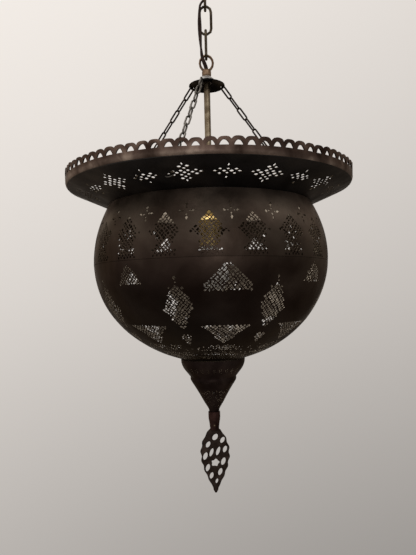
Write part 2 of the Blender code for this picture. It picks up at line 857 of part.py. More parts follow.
def chain_ends():
    """The chain in its radial plane: the top link's start, the direction and the ring's centre."""
    strip = Vector((plate_strip, plate_point(plate_strip)))
    ring_hole = Vector(brim_point(ring_place)) + brim_normal * 0.5 * -SHEET
    direction = (ring_hole - strip).normalized()
    inside = CHAIN_HALF_WIDTH - CHAIN_WIRE
    half_strip = 0.5 * (PLATE_HOLE_INSET - PLATE_HOLE_RADIUS) + 0.2 * MM
    centre = strip + direction * (inside - half_strip - GAP)
    start = centre - direction * CHAIN_HALF_WIDTH
    ring_low = ring_hole + direction * (BRIM_RING_WIRE + 2 * GAP + 0.55 * SHEET)
    return start, direction, ring_low - direction * BRIM_RING_RADIUS


def chain_frame(azimuth, start, direction, along, flat):
    """The place of a link whose top is so far along a chain, in its radial plane or across it."""
    spot = start + direction * along
    outward = polar(1, azimuth, 0)
    down = (outward * direction.x + Vector((0, 0, 1)) * direction.y).normalized()
    across = Vector((0, 0, 1)).cross(outward).normalized()
    side = across if flat else down.cross(across).normalized()
    turn = Matrix((side, side.cross(down), -down)).transposed()
    return Matrix.Translation(outward * spot.x + Vector((0, 0, spot.y))) @ turn.to_4x4()


def linked_pair(single, step):
    """Two links that touch, joined into one body."""
    first = add_object("pair_first", single.copy(), None, CUTTERS)
    second = add_object("pair_second", single.copy(), None, CUTTERS)
    second.location.z = -step
    second.rotation_euler.z = math.pi / 2
    boolean(first, second, "UNION")
    mesh = evaluated_mesh(first, "chain_link_pair")
    bpy.data.objects.remove(first)
    bpy.data.objects.remove(second)
    return mesh


def build_chains():
    """Each chain: single links, then pairs of joined links, then the ring through the brim."""
    start, direction, ring_centre = chain_ends()
    ring_top = (ring_centre - direction * BRIM_RING_RADIUS - start).dot(direction)
    last_bottom = ring_top + CHAIN_WIRE + BRIM_RING_WIRE + GAP
    overlap = 2 * CHAIN_WIRE + GAP
    pair_stretch = GAP + PAIR_BITE
    stretch = (CHAIN_LINKS - SINGLE_LINKS) // 2 * pair_stretch
    length = (last_bottom + (CHAIN_LINKS - 1) * overlap - stretch) / CHAIN_LINKS
    pitch = length - overlap
    path = link_path(length, CHAIN_HALF_WIDTH, 4)
    single = wire_mesh("chain_link", path, CHAIN_WIRE, True)
    single.materials.append(DARK_WIRE)
    pair = linked_pair(single, pitch + pair_stretch)
    round_path = [(math.sin(a), 0, math.cos(a) - 1) for a in circle_angles(RING_POINTS)]
    round_path = [Vector(p) * BRIM_RING_RADIUS for p in round_path]
    ring = wire_mesh("brim_ring", round_path, BRIM_RING_WIRE, True)
    ring.materials.append(DARK_WIRE)
    pieces = []
    for chain, azimuth in enumerate(CHAIN_AZIMUTHS, 1):
        for link in range(SINGLE_LINKS):
            piece = add_object(f"chain_{chain}_link_{link + 1}", single)
            piece.matrix_world = chain_frame(azimuth, start, direction, link * pitch, link % 2 == 1)
            pieces.append(piece)
        along = SINGLE_LINKS * pitch
        for link in range(SINGLE_LINKS, CHAIN_LINKS, 2):
            piece = add_object(f"chain_{chain}_links_{link + 1}_{link + 2}", pair)
            piece.matrix_world = chain_frame(azimuth, start, direction, along, link % 2 == 1)
            pieces.append(piece)
            along += 2 * pitch + pair_stretch
        piece = add_object(f"chain_{chain}_brim_ring", ring)
        piece.matrix_world = chain_frame(azimuth, start, direction, ring_top, True)
        pieces.append(piece)
    return pieces


# Shade


def brim_frame(azimuth, radius, aside=0.0, along=0.0):
    """A place on the brim, moved aside and up its slope, looking along its normal."""
    reach = radius + along * brim_slope.x
    spot = Vector(brim_point(reach))
    turned_by = azimuth + aside / reach
    outward = polar(1, turned_by, 0)
    normal = outward * brim_normal.x + Vector((0, 0, brim_normal.y))
    return facing(outward * spot.x + Vector((0, 0, spot.y)), normal)


def build_brim():
    """The brim's cone, with a collar down into the neck and a lip up inside the gallery."""
    lip_radius = (BRIM_RADIUS - GALLERY_WALL) * math.cos(math.pi / GALLERY_STEPS) - GAP
    lip_foot = brim_point(lip_radius)[1]
    rise = -SHEET * brim_normal
    collar_radius = neck_radius - SHEET - GAP
    collar_top_height = brim_point(neck_radius)[1]
    brim = turned(
        "brim",
        [
            (lip_radius, lip_foot + GALLERY_LIP),
            (lip_radius, lip_foot),
            (neck_radius, collar_top_height + GAP),
            (collar_radius, collar_top_height + GAP),
            (collar_radius, collar_top_height - BRIM_COLLAR),
            (collar_radius - SHEET, collar_top_height - BRIM_COLLAR),
            (collar_radius - SHEET, collar_top_height + GAP + SHEET),
            (neck_radius + rise.x, collar_top_height + GAP + SHEET),
            (lip_radius - SHEET, lip_foot + rise.y - SHEET * brim_slope.y),
            (lip_radius - SHEET, lip_foot + GALLERY_LIP),
        ],
        AGED_BRASS,
        FINE_STEPS,
    )
    places = []
    for i in range(BRIM_MOTIFS):
        azimuth = math.tau * (i + 0.5) / BRIM_MOTIFS - math.radians(0.7)
        frame = brim_frame(azimuth, BRIM_RADIUS - BRIM_MOTIF_INSET)
        half_width = BRIM_MOTIF_HALF_WIDTHS[i % 2]
        places.append((frame, DIAMOND_PUNCH, half_width, BRIM_MOTIF_HALF_HEIGHT))
    boolean(brim, punched("brim_piercing", places))
    start, direction, ring_centre = chain_ends()
    hold = Vector(brim_point(ring_place))
    depth = (hold - ring_centre).dot(direction)
    half_span = math.sqrt(max(0.0, BRIM_RING_RADIUS**2 - depth**2))
    radius = BRIM_RING_HOLE_RADIUS
    holes = []
    for azimuth in CHAIN_AZIMUTHS:
        for side in (-1, 1):
            frame = brim_frame(azimuth, ring_place, side * half_span)
            holes.append((frame, ROUND_PUNCH, radius, radius))
    boolean(brim, punched("brim_ring_holes", holes))
    return brim


def build_gallery():
    """The band round the brim's edge: each facet carries two scallops with an arched hole each."""
    foot = brim_edge - 0.5 * MM
    top = foot + GALLERY_HEIGHT
    inner = BRIM_RADIUS - GALLERY_WALL
    outline = [(BRIM_RADIUS, top), (BRIM_RADIUS, foot), (inner, foot), (inner, top)]
    gallery = turned("gallery", outline, RIM_BRASS, GALLERY_STEPS)
    half_pitch = math.pi * BRIM_RADIUS / ARCH_COUNT
    arches, notches = [], []
    for i in range(ARCH_COUNT):
        middle = math.tau * (i + 0.5 + ARCH_SHIFT) / ARCH_COUNT + math.pi / 2
        edge = middle + math.pi / ARCH_COUNT
        arch = facing(polar(BRIM_RADIUS, middle, foot + ARCH_SILL), polar(1, middle, 0))
        arches.append((arch, ARCH_PUNCH, ARCH_WIDTH * half_pitch, ARCH_HEIGHT))
        notch = facing(polar(BRIM_RADIUS, edge, top), polar(1, edge, 0))
        notches.append((notch, NOTCH_PUNCH, NOTCH_WIDTH * half_pitch, NOTCH_DEPTH))
    boolean(gallery, punched("arch_cutter", arches))
    boolean(gallery, punched("notch_cutter", notches))
    return gallery


def bowl_frame(azimuth, height, aside=0.0):
    """A place on the bowl at a height over the seam, moved aside round it."""
    radius, z, normal = bowl_point(height)
    turned_by = azimuth + aside / radius
    outward = polar(1, turned_by, 0)
    look = outward * normal.x + Vector((0, 0, normal.y))
    return facing(outward * radius + Vector((0, 0, z)), look)


def bowl_outline(top, bottom, count):
    """Heights spaced evenly by angle along the bowl's outline."""
    rise = BOWL_UPPER_HEIGHT if top > 0 else BOWL_LOWER_HEIGHT
    first, last = math.asin(top / rise), math.asin(bottom / rise)
    return [rise * math.sin(first + (last - first) * i / (count - 1)) for i in range(count)]


def upper_heights():
    return bowl_outline(NECK_HEIGHT, 0, UPPER_ROWS)


def build_upper_bowl():
    heights = upper_heights()
    outer = [bowl_point(h)[:2] for h in heights]
    inner = [bowl_point(h, SHEET)[:2] for h in heights]
    inner[-1] = (inner[-1][0], outer[-1][1])
    bowl = turned("bowl_upper", outer + inner[::-1], AGED_BRASS, FINE_STEPS)
    places = []
    for i in range(UPPER_MOTIFS):
        azimuth = math.tau * i / UPPER_MOTIFS - math.radians(2)
        for height, half_width, half_height in (TREE_CROWN, TREE_FOOT):
            frame = bowl_frame(azimuth, height)
            places.append((frame, DIAMOND_PUNCH, half_width, half_height))
    boolean(bowl, punched("upper_piercing", places))
    return bowl


def build_lower_bowl():
    """The lower half, with a lip that laps up inside the upper half."""
    heights = bowl_outline(-GAP, bowl_mouth_height, LOWER_ROWS)
    outer = [bowl_point(h)[:2] for h in heights]
    inner = [bowl_point(h, SHEET)[:2] for h in heights]
    lip = BOWL_RADIUS - SHEET - GAP
    lip_top = seam + LAP
    above = upper_heights()[-2]
    lip_inset = (BOWL_RADIUS - bowl_point(above)[0]) * LAP / above
    outline = [(lip - lip_inset, lip_top), (lip, seam - GAP)] + outer
    outline += inner[:0:-1] + [(lip - SHEET, seam - LAP), (lip - SHEET - lip_inset, lip_top)]
    bowl = turned("bowl_lower", outline, AGED_BRASS, FINE_STEPS)
    places = []
    half = math.pi / LOWER_MOTIFS
    for i in range(LOWER_MOTIFS):
        azimuth = 2 * half * i + LOWER_PHASE
        for row, height in enumerate(PEAK_ROW_HEIGHTS):
            for place in range(row + 1):
                aside = (place - row / 2) * PEAK_PITCH
                frame = bowl_frame(azimuth, height, aside)
                places.append((frame, PEAK_PUNCH, PEAK_HALF_WIDTH, PEAK_HALF_HEIGHT))
        for height, aside in (
            (LOZENGE_TOP, 0),
            (LOZENGE_MIDDLE, -LOZENGE_ASIDE),
            (LOZENGE_MIDDLE, LOZENGE_ASIDE),
            (LOZENGE_FOOT, 0),
        ):
            frame = bowl_frame(azimuth + half, height, aside)
            places.append((frame, DIAMOND_PUNCH, LOZENGE_HALF_WIDTH, LOZENGE_HALF_HEIGHT))
        frame = bowl_frame(azimuth, HANGING_PEAK_HEIGHT)
        places.append((frame, NOTCH_PUNCH, HANGING_PEAK_HALF_WIDTH, HANGING_PEAK_HALF_HEIGHT))
    boolean(bowl, punched("lower_piercing", places))
    return bowl


# Finial


cup_top = seam + bowl_mouth_height - GAP
ledge_top = cup_top - CUP_DEPTH
cone_top = ledge_top - LEDGE_HEIGHT - GAP
cone_bottom = cone_top - CONE_HEIGHT
socket_top = cone_bottom - GAP
socket_bottom = socket_top - SOCKET_HEIGHT
pin_height = socket_bottom + PIN_ABOVE_FOOT


def build_cup():
    wall = SHEET
    outer = [(CUP_RADIUS, cup_top)]
    spread = CUP_RADIUS - CUP_FOOT_RADIUS
    for down, out in ((0.2, 0.98), (0.49, 0.77), (0.8, 0.34), (1.0, 0.0)):
        outer.append((CUP_FOOT_RADIUS + out * spread, cup_top - down * CUP_DEPTH))
    outer.append((CUP_FOOT_RADIUS, ledge_top - LEDGE_HEIGHT))
    inner = [(r - wall, z) for r, z in outer]
    return turned("finial_cup", outer + inner[::-1], COPPER_BROWN)


def build_cone():
    """The pierced cone, whose top edge turns in under the cup."""
    wall = CONE_WALL
    outer = []
    spread = CUP_FOOT_RADIUS - CONE_TIP_RADIUS
    for down, out in ((0, 1.0), (0.46, 0.48), (0.93, 0.03), (1.0, 0.0)):
        outer.append((CONE_TIP_RADIUS + out * spread, cone_top - down * CONE_HEIGHT))
    inner = [(r - wall, z) for r, z in outer]
    return turned("finial_cone", outer + inner[::-1], COPPER_BROWN, 16)


def cross_rod(name, radius, length, material=None, collection=PARTS):
    """A round rod through the lamp's axis at the leaf's pin, from front to back."""
    shaper = bmesh.new()
    bmesh.ops.create_cone(
        shaper, cap_ends=True, segments=10, radius1=radius, radius2=radius, depth=length
    )
    bmesh.ops.rotate(shaper, matrix=Matrix.Rotation(math.pi / 2, 3, "X"), verts=shaper.verts)
    mesh = bpy.data.meshes.new(name)
    shaper.to_mesh(mesh)
    shaper.free()
    rod = add_object(name, mesh, material, collection)
    rod.location.z = pin_height
    return rod


def build_socket():
    """A tapered plug whose lower end is split for the leaf, with a pin across the split."""
    spigot = CONE_TIP_RADIUS - CONE_WALL - GAP
    socket = turned(
        "leaf_socket",
        [
            (0, cone_bottom + SPIGOT_HEIGHT),
            (spigot, cone_bottom + SPIGOT_HEIGHT),
            (spigot, socket_top),
            (SOCKET_TOP_RADIUS, socket_top),
            (SOCKET_TOP_RADIUS, socket_top - 0.3 * SOCKET_HEIGHT),
            (SOCKET_FOOT_RADIUS, socket_bottom),
            (0, socket_bottom),
        ],
        COPPER_BROWN,
        14,
        False,
    )
    slot = bmesh.new()
    bmesh.ops.create_cube(slot, size=1)
    size = (4 * SOCKET_TOP_RADIUS, LEAF_THICKNESS + 2 * GAP, 2 * SOCKET_SLOT_DEPTH)
    bmesh.ops.scale(slot, vec=size, verts=slot.verts)
    mesh = bpy.data.meshes.new("slot_cutter")
    slot.to_mesh(mesh)
    slot.free()
    cutter = add_object("slot_cutter", mesh, None, CUTTERS)
    cutter.location.z = socket_bottom
    boolean(socket, cutter)
    bore = cross_rod("pin_bore_cutter", PIN_RADIUS + PIN_PLAY, 4 * SOCKET_TOP_RADIUS, None, CUTTERS)
    boolean(socket, bore)
    return socket


def build_pin():
    return cross_rod("leaf_pin", PIN_RADIUS, 2 * SOCKET_FOOT_RADIUS + PIN_STANDS_OUT, BRIGHT_BRASS)


LEAF_HOLES = [
    (0.5, -21, 4.6, 5.5, 0.1),
    (12.4, -26, 3.2, 5.5, 0.4),
    (-11.3, -33, 3.2, 5.5, 0.4),
    (4.9, -44, 2.7, 7.8, 0.3),
    (-6, -46, 2.7, 7.3, 0.3),
    (16.4, -41, 3.2, 5.9, 0.3),
    (-16.2, -52, 3.4, 6.6, 0.3),
    (0, -63, 5.6, 6.4, 0.2),
    (13.1, -61, 3.4, 6.6, 0.3),
    (-12.5, -71, 3.2, 6.4, 0.2),
    (7.7, -78, 3.2, 6.2, 0.3),
    (-6.6, -84, 3.0, 5.6, 0.2),
    (1.8, -93, 2.0, 4.1, 0.2),
]


def build_leaf():
    """The pierced leaf: an outline of lobes round a tongue that turns on the pin."""
    curve = bpy.data.curves.new("leaf_pendant", "CURVE")
    curve.dimensions = "2D"
    curve.fill_mode = "BOTH"
    curve.extrude = 0.5 * LEAF_THICKNESS
    add_outline(curve, leaf_outline())
    for hole in LEAF_HOLES:
        add_outline(curve, leaf_hole(*hole))
    bore = PIN_RADIUS + GAP
    add_outline(curve, [(bore * x, bore * y) for x, y in round_outline(8)])
    guide = add_object("leaf_guide", curve, None, CUTTERS)
    mesh = evaluated_mesh(guide, "leaf_pendant")
    bpy.data.objects.remove(guide)
    mesh.transform(Matrix.Rotation(math.pi / 2, 4, "X"))
    leaf = add_object("leaf_pendant", mesh, COPPER_BROWN)
    leaf.location.z = pin_height
    return leaf


def leaf_outline():
    """The edge, from the tongue down one side and up the other."""
    right = [(2.5 * MM, -LEAF_START + 3 * MM)]
    lobes = 7
    for i in range(2 * lobes + 1):
        share = i / (2 * lobes)
        width = math.sin(math.pi * (LEAF_SHOULDER + (1 - LEAF_SHOULDER) * share) ** 0.8)
        bump = 0.93 if i % 2 else 1.04
        z = -LEAF_START - share * (LEAF_LENGTH - 4 * MM)
        right.append((max(2.6 * MM, LEAF_HALF_WIDTH * width * bump), z))
    right.append((1.2 * MM, -LEAF_START - LEAF_LENGTH))
    tongue = []
    for i in range(7):
        angle = math.radians(-35 + 250 * i / 6)
        tongue.append((LEAF_TONGUE_RADIUS * math.cos(angle), LEAF_TONGUE_RADIUS * math.sin(angle)))
    left = [(-x, z) for x, z in right[::-1]]
    return right + left + tongue[::-1]


def leaf_hole(x, z, half_width, half_height, lean):
    """A slanted oval hole, its sizes in millimetres."""
    place = Matrix.Translation((x, z, 0)) @ Matrix.Rotation(-lean, 4, "Z")
    rim = []
    for angle in circle_angles(LEAF_HOLE_POINTS):
        spot = Vector((half_width * math.cos(angle), half_height * math.sin(angle), 0))
        rim.append((place @ spot).xy * MM)
    return rim


build_ceiling_plate()
build_rose()
build_cord_bush()
build_hook()
link_a, link_b, link_c = build_links()
cord_1, cord_2, cord_3, cord_4 = build_cord()
lamp = [build_loop(), build_collar(), build_stem(), build_stem_nut()]
lamp += [build_holder_cap(), build_holder_shell(), build_liner()]
bulb = build_bulb()
shade = [build_chain_plate(), *build_chains(), build_brim(), build_gallery()]
shade += [build_upper_bowl(), build_lower_bowl(), build_cup(), build_cone(), build_socket(), build_pin()]
leaf = build_leaf()

link_a_pivot = hang("link_a_pivot", None, hook_bottom, [link_a, cord_1])
link_b_pivot = hang("link_b_pivot", link_a_pivot, link_a_bottom, [link_b, cord_2])
link_c_pivot = hang("link_c_pivot", link_b_pivot, link_b_bottom, [link_c, cord_3])
lamp_pivot = hang("lamp_pivot", link_c_pivot, link_c_bottom, [*lamp, cord_4])
bulb_pivot = hang("bulb_pivot", lamp_pivot, shell_bottom, bulb)
shade_pivot = hang("shade_pivot", lamp_pivot, plate_top, shade)
leaf_pivot = hang("leaf_pivot", shade_pivot, pin_height, [leaf])
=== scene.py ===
"""Looks of the pierced hanging lamp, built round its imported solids."""

import json
import math

import bpy
import numpy as np
from mathutils import Matrix, Vector
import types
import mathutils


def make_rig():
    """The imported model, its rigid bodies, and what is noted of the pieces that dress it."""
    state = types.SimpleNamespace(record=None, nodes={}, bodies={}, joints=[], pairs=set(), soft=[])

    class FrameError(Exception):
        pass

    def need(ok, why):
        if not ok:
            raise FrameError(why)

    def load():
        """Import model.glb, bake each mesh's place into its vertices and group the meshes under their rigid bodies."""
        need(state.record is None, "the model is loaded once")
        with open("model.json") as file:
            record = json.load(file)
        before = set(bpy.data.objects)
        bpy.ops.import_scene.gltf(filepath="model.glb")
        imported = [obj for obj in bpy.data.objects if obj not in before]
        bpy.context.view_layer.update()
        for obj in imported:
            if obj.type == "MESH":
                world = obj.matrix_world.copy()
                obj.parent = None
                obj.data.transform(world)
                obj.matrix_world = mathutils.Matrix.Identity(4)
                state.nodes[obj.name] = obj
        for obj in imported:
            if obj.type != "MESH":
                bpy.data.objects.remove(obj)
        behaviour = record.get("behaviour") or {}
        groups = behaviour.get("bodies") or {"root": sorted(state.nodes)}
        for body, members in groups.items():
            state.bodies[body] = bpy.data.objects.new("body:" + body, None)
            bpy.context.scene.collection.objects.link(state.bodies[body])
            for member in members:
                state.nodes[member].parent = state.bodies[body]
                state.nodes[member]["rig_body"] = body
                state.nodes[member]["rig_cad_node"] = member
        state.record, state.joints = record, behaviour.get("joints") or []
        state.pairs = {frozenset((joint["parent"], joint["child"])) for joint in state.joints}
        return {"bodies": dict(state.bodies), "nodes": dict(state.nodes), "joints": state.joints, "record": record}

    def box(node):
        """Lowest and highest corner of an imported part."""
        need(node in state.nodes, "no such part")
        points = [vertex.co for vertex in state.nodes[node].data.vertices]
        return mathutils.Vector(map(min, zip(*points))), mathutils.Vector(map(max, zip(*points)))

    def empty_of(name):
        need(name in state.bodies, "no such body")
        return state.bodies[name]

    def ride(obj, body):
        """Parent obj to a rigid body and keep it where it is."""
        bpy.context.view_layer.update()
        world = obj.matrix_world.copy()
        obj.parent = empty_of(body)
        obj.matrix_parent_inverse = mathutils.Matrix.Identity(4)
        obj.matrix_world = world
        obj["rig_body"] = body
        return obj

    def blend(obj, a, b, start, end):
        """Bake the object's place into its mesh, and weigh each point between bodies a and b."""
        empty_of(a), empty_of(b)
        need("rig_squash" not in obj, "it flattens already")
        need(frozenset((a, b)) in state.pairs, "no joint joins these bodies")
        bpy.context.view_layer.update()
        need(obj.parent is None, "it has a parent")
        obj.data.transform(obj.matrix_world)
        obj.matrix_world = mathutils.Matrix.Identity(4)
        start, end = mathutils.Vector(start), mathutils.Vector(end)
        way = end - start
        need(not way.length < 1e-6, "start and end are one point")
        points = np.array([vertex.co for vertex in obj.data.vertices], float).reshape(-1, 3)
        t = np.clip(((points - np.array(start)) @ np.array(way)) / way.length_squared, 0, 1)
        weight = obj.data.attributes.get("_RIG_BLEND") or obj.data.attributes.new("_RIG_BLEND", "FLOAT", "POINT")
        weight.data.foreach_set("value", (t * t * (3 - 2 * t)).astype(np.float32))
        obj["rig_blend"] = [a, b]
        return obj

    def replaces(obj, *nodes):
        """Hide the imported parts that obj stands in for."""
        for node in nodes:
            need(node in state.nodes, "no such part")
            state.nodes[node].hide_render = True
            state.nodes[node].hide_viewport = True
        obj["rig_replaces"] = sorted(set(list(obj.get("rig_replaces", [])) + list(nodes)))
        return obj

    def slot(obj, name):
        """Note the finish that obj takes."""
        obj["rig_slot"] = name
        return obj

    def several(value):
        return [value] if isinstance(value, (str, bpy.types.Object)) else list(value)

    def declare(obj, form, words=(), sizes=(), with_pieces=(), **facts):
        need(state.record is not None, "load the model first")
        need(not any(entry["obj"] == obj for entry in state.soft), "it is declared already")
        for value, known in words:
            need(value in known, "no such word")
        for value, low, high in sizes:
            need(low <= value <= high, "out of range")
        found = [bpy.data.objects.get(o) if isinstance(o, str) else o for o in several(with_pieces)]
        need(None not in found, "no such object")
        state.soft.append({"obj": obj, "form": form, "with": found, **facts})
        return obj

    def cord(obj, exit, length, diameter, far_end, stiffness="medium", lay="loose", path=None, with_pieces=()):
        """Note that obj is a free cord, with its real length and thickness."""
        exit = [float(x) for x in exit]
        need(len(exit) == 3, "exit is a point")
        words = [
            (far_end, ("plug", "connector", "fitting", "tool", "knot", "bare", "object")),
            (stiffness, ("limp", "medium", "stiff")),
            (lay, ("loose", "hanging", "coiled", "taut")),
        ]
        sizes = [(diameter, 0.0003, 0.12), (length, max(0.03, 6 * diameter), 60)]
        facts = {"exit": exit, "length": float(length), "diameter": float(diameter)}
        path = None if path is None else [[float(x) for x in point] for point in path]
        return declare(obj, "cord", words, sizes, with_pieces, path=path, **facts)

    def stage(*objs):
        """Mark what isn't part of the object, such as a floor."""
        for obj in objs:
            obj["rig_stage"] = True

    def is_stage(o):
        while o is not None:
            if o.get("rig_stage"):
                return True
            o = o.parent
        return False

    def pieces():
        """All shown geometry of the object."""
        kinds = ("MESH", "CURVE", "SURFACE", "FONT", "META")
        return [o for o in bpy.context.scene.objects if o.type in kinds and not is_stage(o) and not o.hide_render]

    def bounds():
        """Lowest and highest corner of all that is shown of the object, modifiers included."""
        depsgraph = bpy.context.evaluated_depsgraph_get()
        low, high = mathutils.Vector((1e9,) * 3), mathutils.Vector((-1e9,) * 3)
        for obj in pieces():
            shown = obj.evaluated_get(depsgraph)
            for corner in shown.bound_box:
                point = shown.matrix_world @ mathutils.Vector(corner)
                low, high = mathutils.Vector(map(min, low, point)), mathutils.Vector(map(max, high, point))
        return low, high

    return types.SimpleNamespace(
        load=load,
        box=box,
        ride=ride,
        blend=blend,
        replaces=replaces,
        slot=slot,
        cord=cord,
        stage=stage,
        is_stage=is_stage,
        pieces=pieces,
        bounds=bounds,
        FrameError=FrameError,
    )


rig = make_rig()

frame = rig.load()
cad_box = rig.bounds()

MM = 0.001

# Photograph: size in pixels, focal length, eye level and the lamp's axis in pixels
PHOTO_WIDTH = 416
PHOTO_HEIGHT = 555
FOCAL_PIXELS = 538
EYE_PIXEL = 295.4
AXIS_PIXEL = 211.6
EYE_DISTANCE = 884 * MM
EYE_HEIGHT = -555.5 * MM
ROLL = math.radians(1.3)

# Flex: the cord's route, in millimetres, and the points of it where its four lengths start
CORD_ROUTE = [
    (22.0, 0.0, -11.0), (22.0, 0.0, -23.0), (20.6, -0.3, -33.0),
    (15.2, -0.8, -43.5), (9.8, -0.8, -52.0), (6.6, -0.5, -58.0),
    (3.4, 0.0, -63.5), (-0.2, -0.2, -69.0), (-4.8, -3.4, -75.0),
    (-8.2, -5.7, -82.0), (-9.4, -6.2, -92.0), (-9.6, -6.3, -105.0),
    (-9.5, -6.2, -118.0), (-9.2, -6.1, -130.0), (-8.6, -5.9, -145.0),
    (-7.7, -5.9, -155.5), (-7.0, -5.5, -163.5), (-4.9, -3.9, -171.0),
    (-2.0, -1.6, -177.8), (-0.2, -0.15, -184.5), (0.0, 0.0, -191.0),
    (0.0, 0.0, -202.0),
]
CORD_STARTS = [0, 6, 11, 14]
CORD_END = (0.0, 0.0, -423.5)
CORD_DIAMETER = 6 * MM
STRAND_RADIUS = 1.72 * MM
STRAND_OFFSET = 1.5 * MM
STRAND_SIDES = 8
STRAND_STEP = 1.5 * MM
TWIST_PITCH = 130 * MM
FIRST_TURN = 2.25
CORD_JOINTS = [
    ("ceiling", "link_a", -46.4 * MM),
    ("link_a", "link_b", -86.2 * MM),
    ("link_b", "link_c", -126.3 * MM),
    ("link_c", "lamp", -166.4 * MM),
]
BEND_REACH = 9 * MM

# Shade, with heights over the seam of the bowl
SEAM = -499.5 * MM
SHEET = 1.0 * MM
BOWL_RADIUS = 188 * MM
UPPER_HEIGHT = 180 * MM
LOWER_HEIGHT = 164 * MM
NECK_HEIGHT = 89 * MM
MOUTH_HEIGHT = -158 * MM
BRIM_RADIUS = 228.6 * MM
BRIM_HEIGHT = 117.5 * MM
LIP_RADIUS = 226.4 * MM
GALLERY_HEIGHT = 23 * MM
GALLERY_WALL = 2.1 * MM
SEAM_EDGE = -5 * MM

CREASE_ANGLE = math.radians(40)

SEED = 11
rng = np.random.RandomState(SEED)


def link_object(name, data):
    """A new object in the scene."""
    piece = bpy.data.objects.new(name, data)
    bpy.context.scene.collection.objects.link(piece)
    return piece


def new_mesh(name, vertices, faces, skins):
    """A smooth mesh with its finishes."""
    mesh = bpy.data.meshes.new(name)
    mesh.from_pydata(vertices, [], faces)
    for skin in skins:
        mesh.materials.append(skin)
    mesh.shade_smooth()
    return mesh


def stand_in(name, mesh, body, slot, solid):
    """A piece that rides on a body in the place of a solid."""
    piece = link_object(name, mesh)
    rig.ride(piece, body)
    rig.replaces(piece, solid)
    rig.slot(piece, slot)


def add_camera():
    """The photograph's camera, level but for its roll."""
    data = bpy.data.cameras.new("camera")
    data.lens = data.sensor_width * FOCAL_PIXELS / PHOTO_HEIGHT
    data.shift_x = (PHOTO_WIDTH / 2 - AXIS_PIXEL) / PHOTO_HEIGHT
    data.shift_y = (EYE_PIXEL - PHOTO_HEIGHT / 2) / PHOTO_HEIGHT
    camera = link_object("camera", data)
    camera.location = (0, -EYE_DISTANCE, EYE_HEIGHT)
    camera.rotation_euler = (math.radians(90), ROLL, 0)
    bpy.context.scene.camera = camera


add_camera()


# Materials

SPECULAR_TINT = (0.6, 0.56, 0.52, 1)
CLOUD_STOPS = (0.32, 0.52, 0.72)
GLOSS_NOISE = (0.3, 0.7)
GLOSS_SCALE = 2.3
GRAIN_DEPTH = 0.3 * MM
DENT_DEPTH = 1.6 * MM
GRAINS_PER_DENT = 5
TONE_PER_METRE_ASIDE = 0.5

# Sockets of the Mix node that hold colours
MIX_A = 6
MIX_B = 7
MIX_RESULT = 2


def add_node(tree, kind, **values):
    """A node with its settings and the values of its inputs, by their names."""
    node = tree.nodes.new(kind)
    for name, value in values.items():
        if hasattr(node, name):
            setattr(node, name, value)
        else:
            node.inputs[name.replace("_", " ").title()].default_value = value
    return node


def noise(tree, scale, detail=4, distortion=0.0):
    """Cloudy noise fixed to the object."""
    place = tree.nodes.get("place") or add_node(tree, "ShaderNodeTexCoord", name="place")
    node = add_node(tree, "ShaderNodeTexNoise", Scale=scale, Detail=detail, Distortion=distortion)
    tree.links.new(place.outputs["Object"], node.inputs["Vector"])
    return node.outputs["Fac"]


def ramp(tree, source, stops):
    """A colour that runs through stops as a value rises."""
    node = add_node(tree, "ShaderNodeValToRGB")
    elements = node.color_ramp.elements
    while len(elements) < len(stops):
        elements.new(0.5)
    for element, (place, colour) in zip(elements, stops):
        element.position = place
        element.color = (*colour, 1)
    tree.links.new(source, node.inputs["Fac"])
    return node.outputs["Color"]


def map_range(tree, source, *limits):
    """A value stretched from one range to another."""
    node = add_node(tree, "ShaderNodeMapRange")
    for name, limit in zip(("From Min", "From Max", "To Min", "To Max"), limits):
        node.inputs[name].default_value = limit
    tree.links.new(source, node.inputs["Value"])
    return node.outputs["Result"]


def calculate(tree, operation, *operands):
    """The result of a sum with outputs and plain numbers."""
    node = add_node(tree, "ShaderNodeMath", operation=operation)
    for socket, operand in zip(node.inputs, operands):
        if isinstance(operand, (int, float)):
            socket.default_value = operand
        else:
            tree.links.new(operand, socket)
    return node.outputs["Value"]


def worn_metal(name, dark, middle, light, roughness, scale, metallic=1.0, bump=0.3, grain=220):
    """Metal with a cloudy patina, uneven gloss, shallow dents and a fine grain."""
    material = bpy.data.materials.new(name)
    material.use_nodes = True
    tree = material.node_tree
    shader = tree.nodes["Principled BSDF"]
    shader.inputs["Metallic"].default_value = metallic
    shader.inputs["Specular Tint"].default_value = SPECULAR_TINT
    cloud = noise(tree, scale, detail=6, distortion=0.4)
    colour = ramp(tree, cloud, list(zip(CLOUD_STOPS, (dark, middle, light))))
    tree.links.new(colour, shader.inputs["Base Color"])
    spread = map_range(tree, noise(tree, scale * GLOSS_SCALE), *GLOSS_NOISE, *roughness)
    tree.links.new(spread, shader.inputs["Roughness"])
    fine = add_node(tree, "ShaderNodeBump", Strength=bump, Distance=GRAIN_DEPTH)
    tree.links.new(noise(tree, grain, detail=3), fine.inputs["Height"])
    broad = add_node(tree, "ShaderNodeBump", Strength=bump, Distance=DENT_DEPTH)
    tree.links.new(noise(tree, grain / GRAINS_PER_DENT, detail=2), broad.inputs["Height"])
    tree.links.new(fine.outputs["Normal"], broad.inputs["Normal"])
    tree.links.new(broad.outputs["Normal"], shader.inputs["Normal"])
    return material


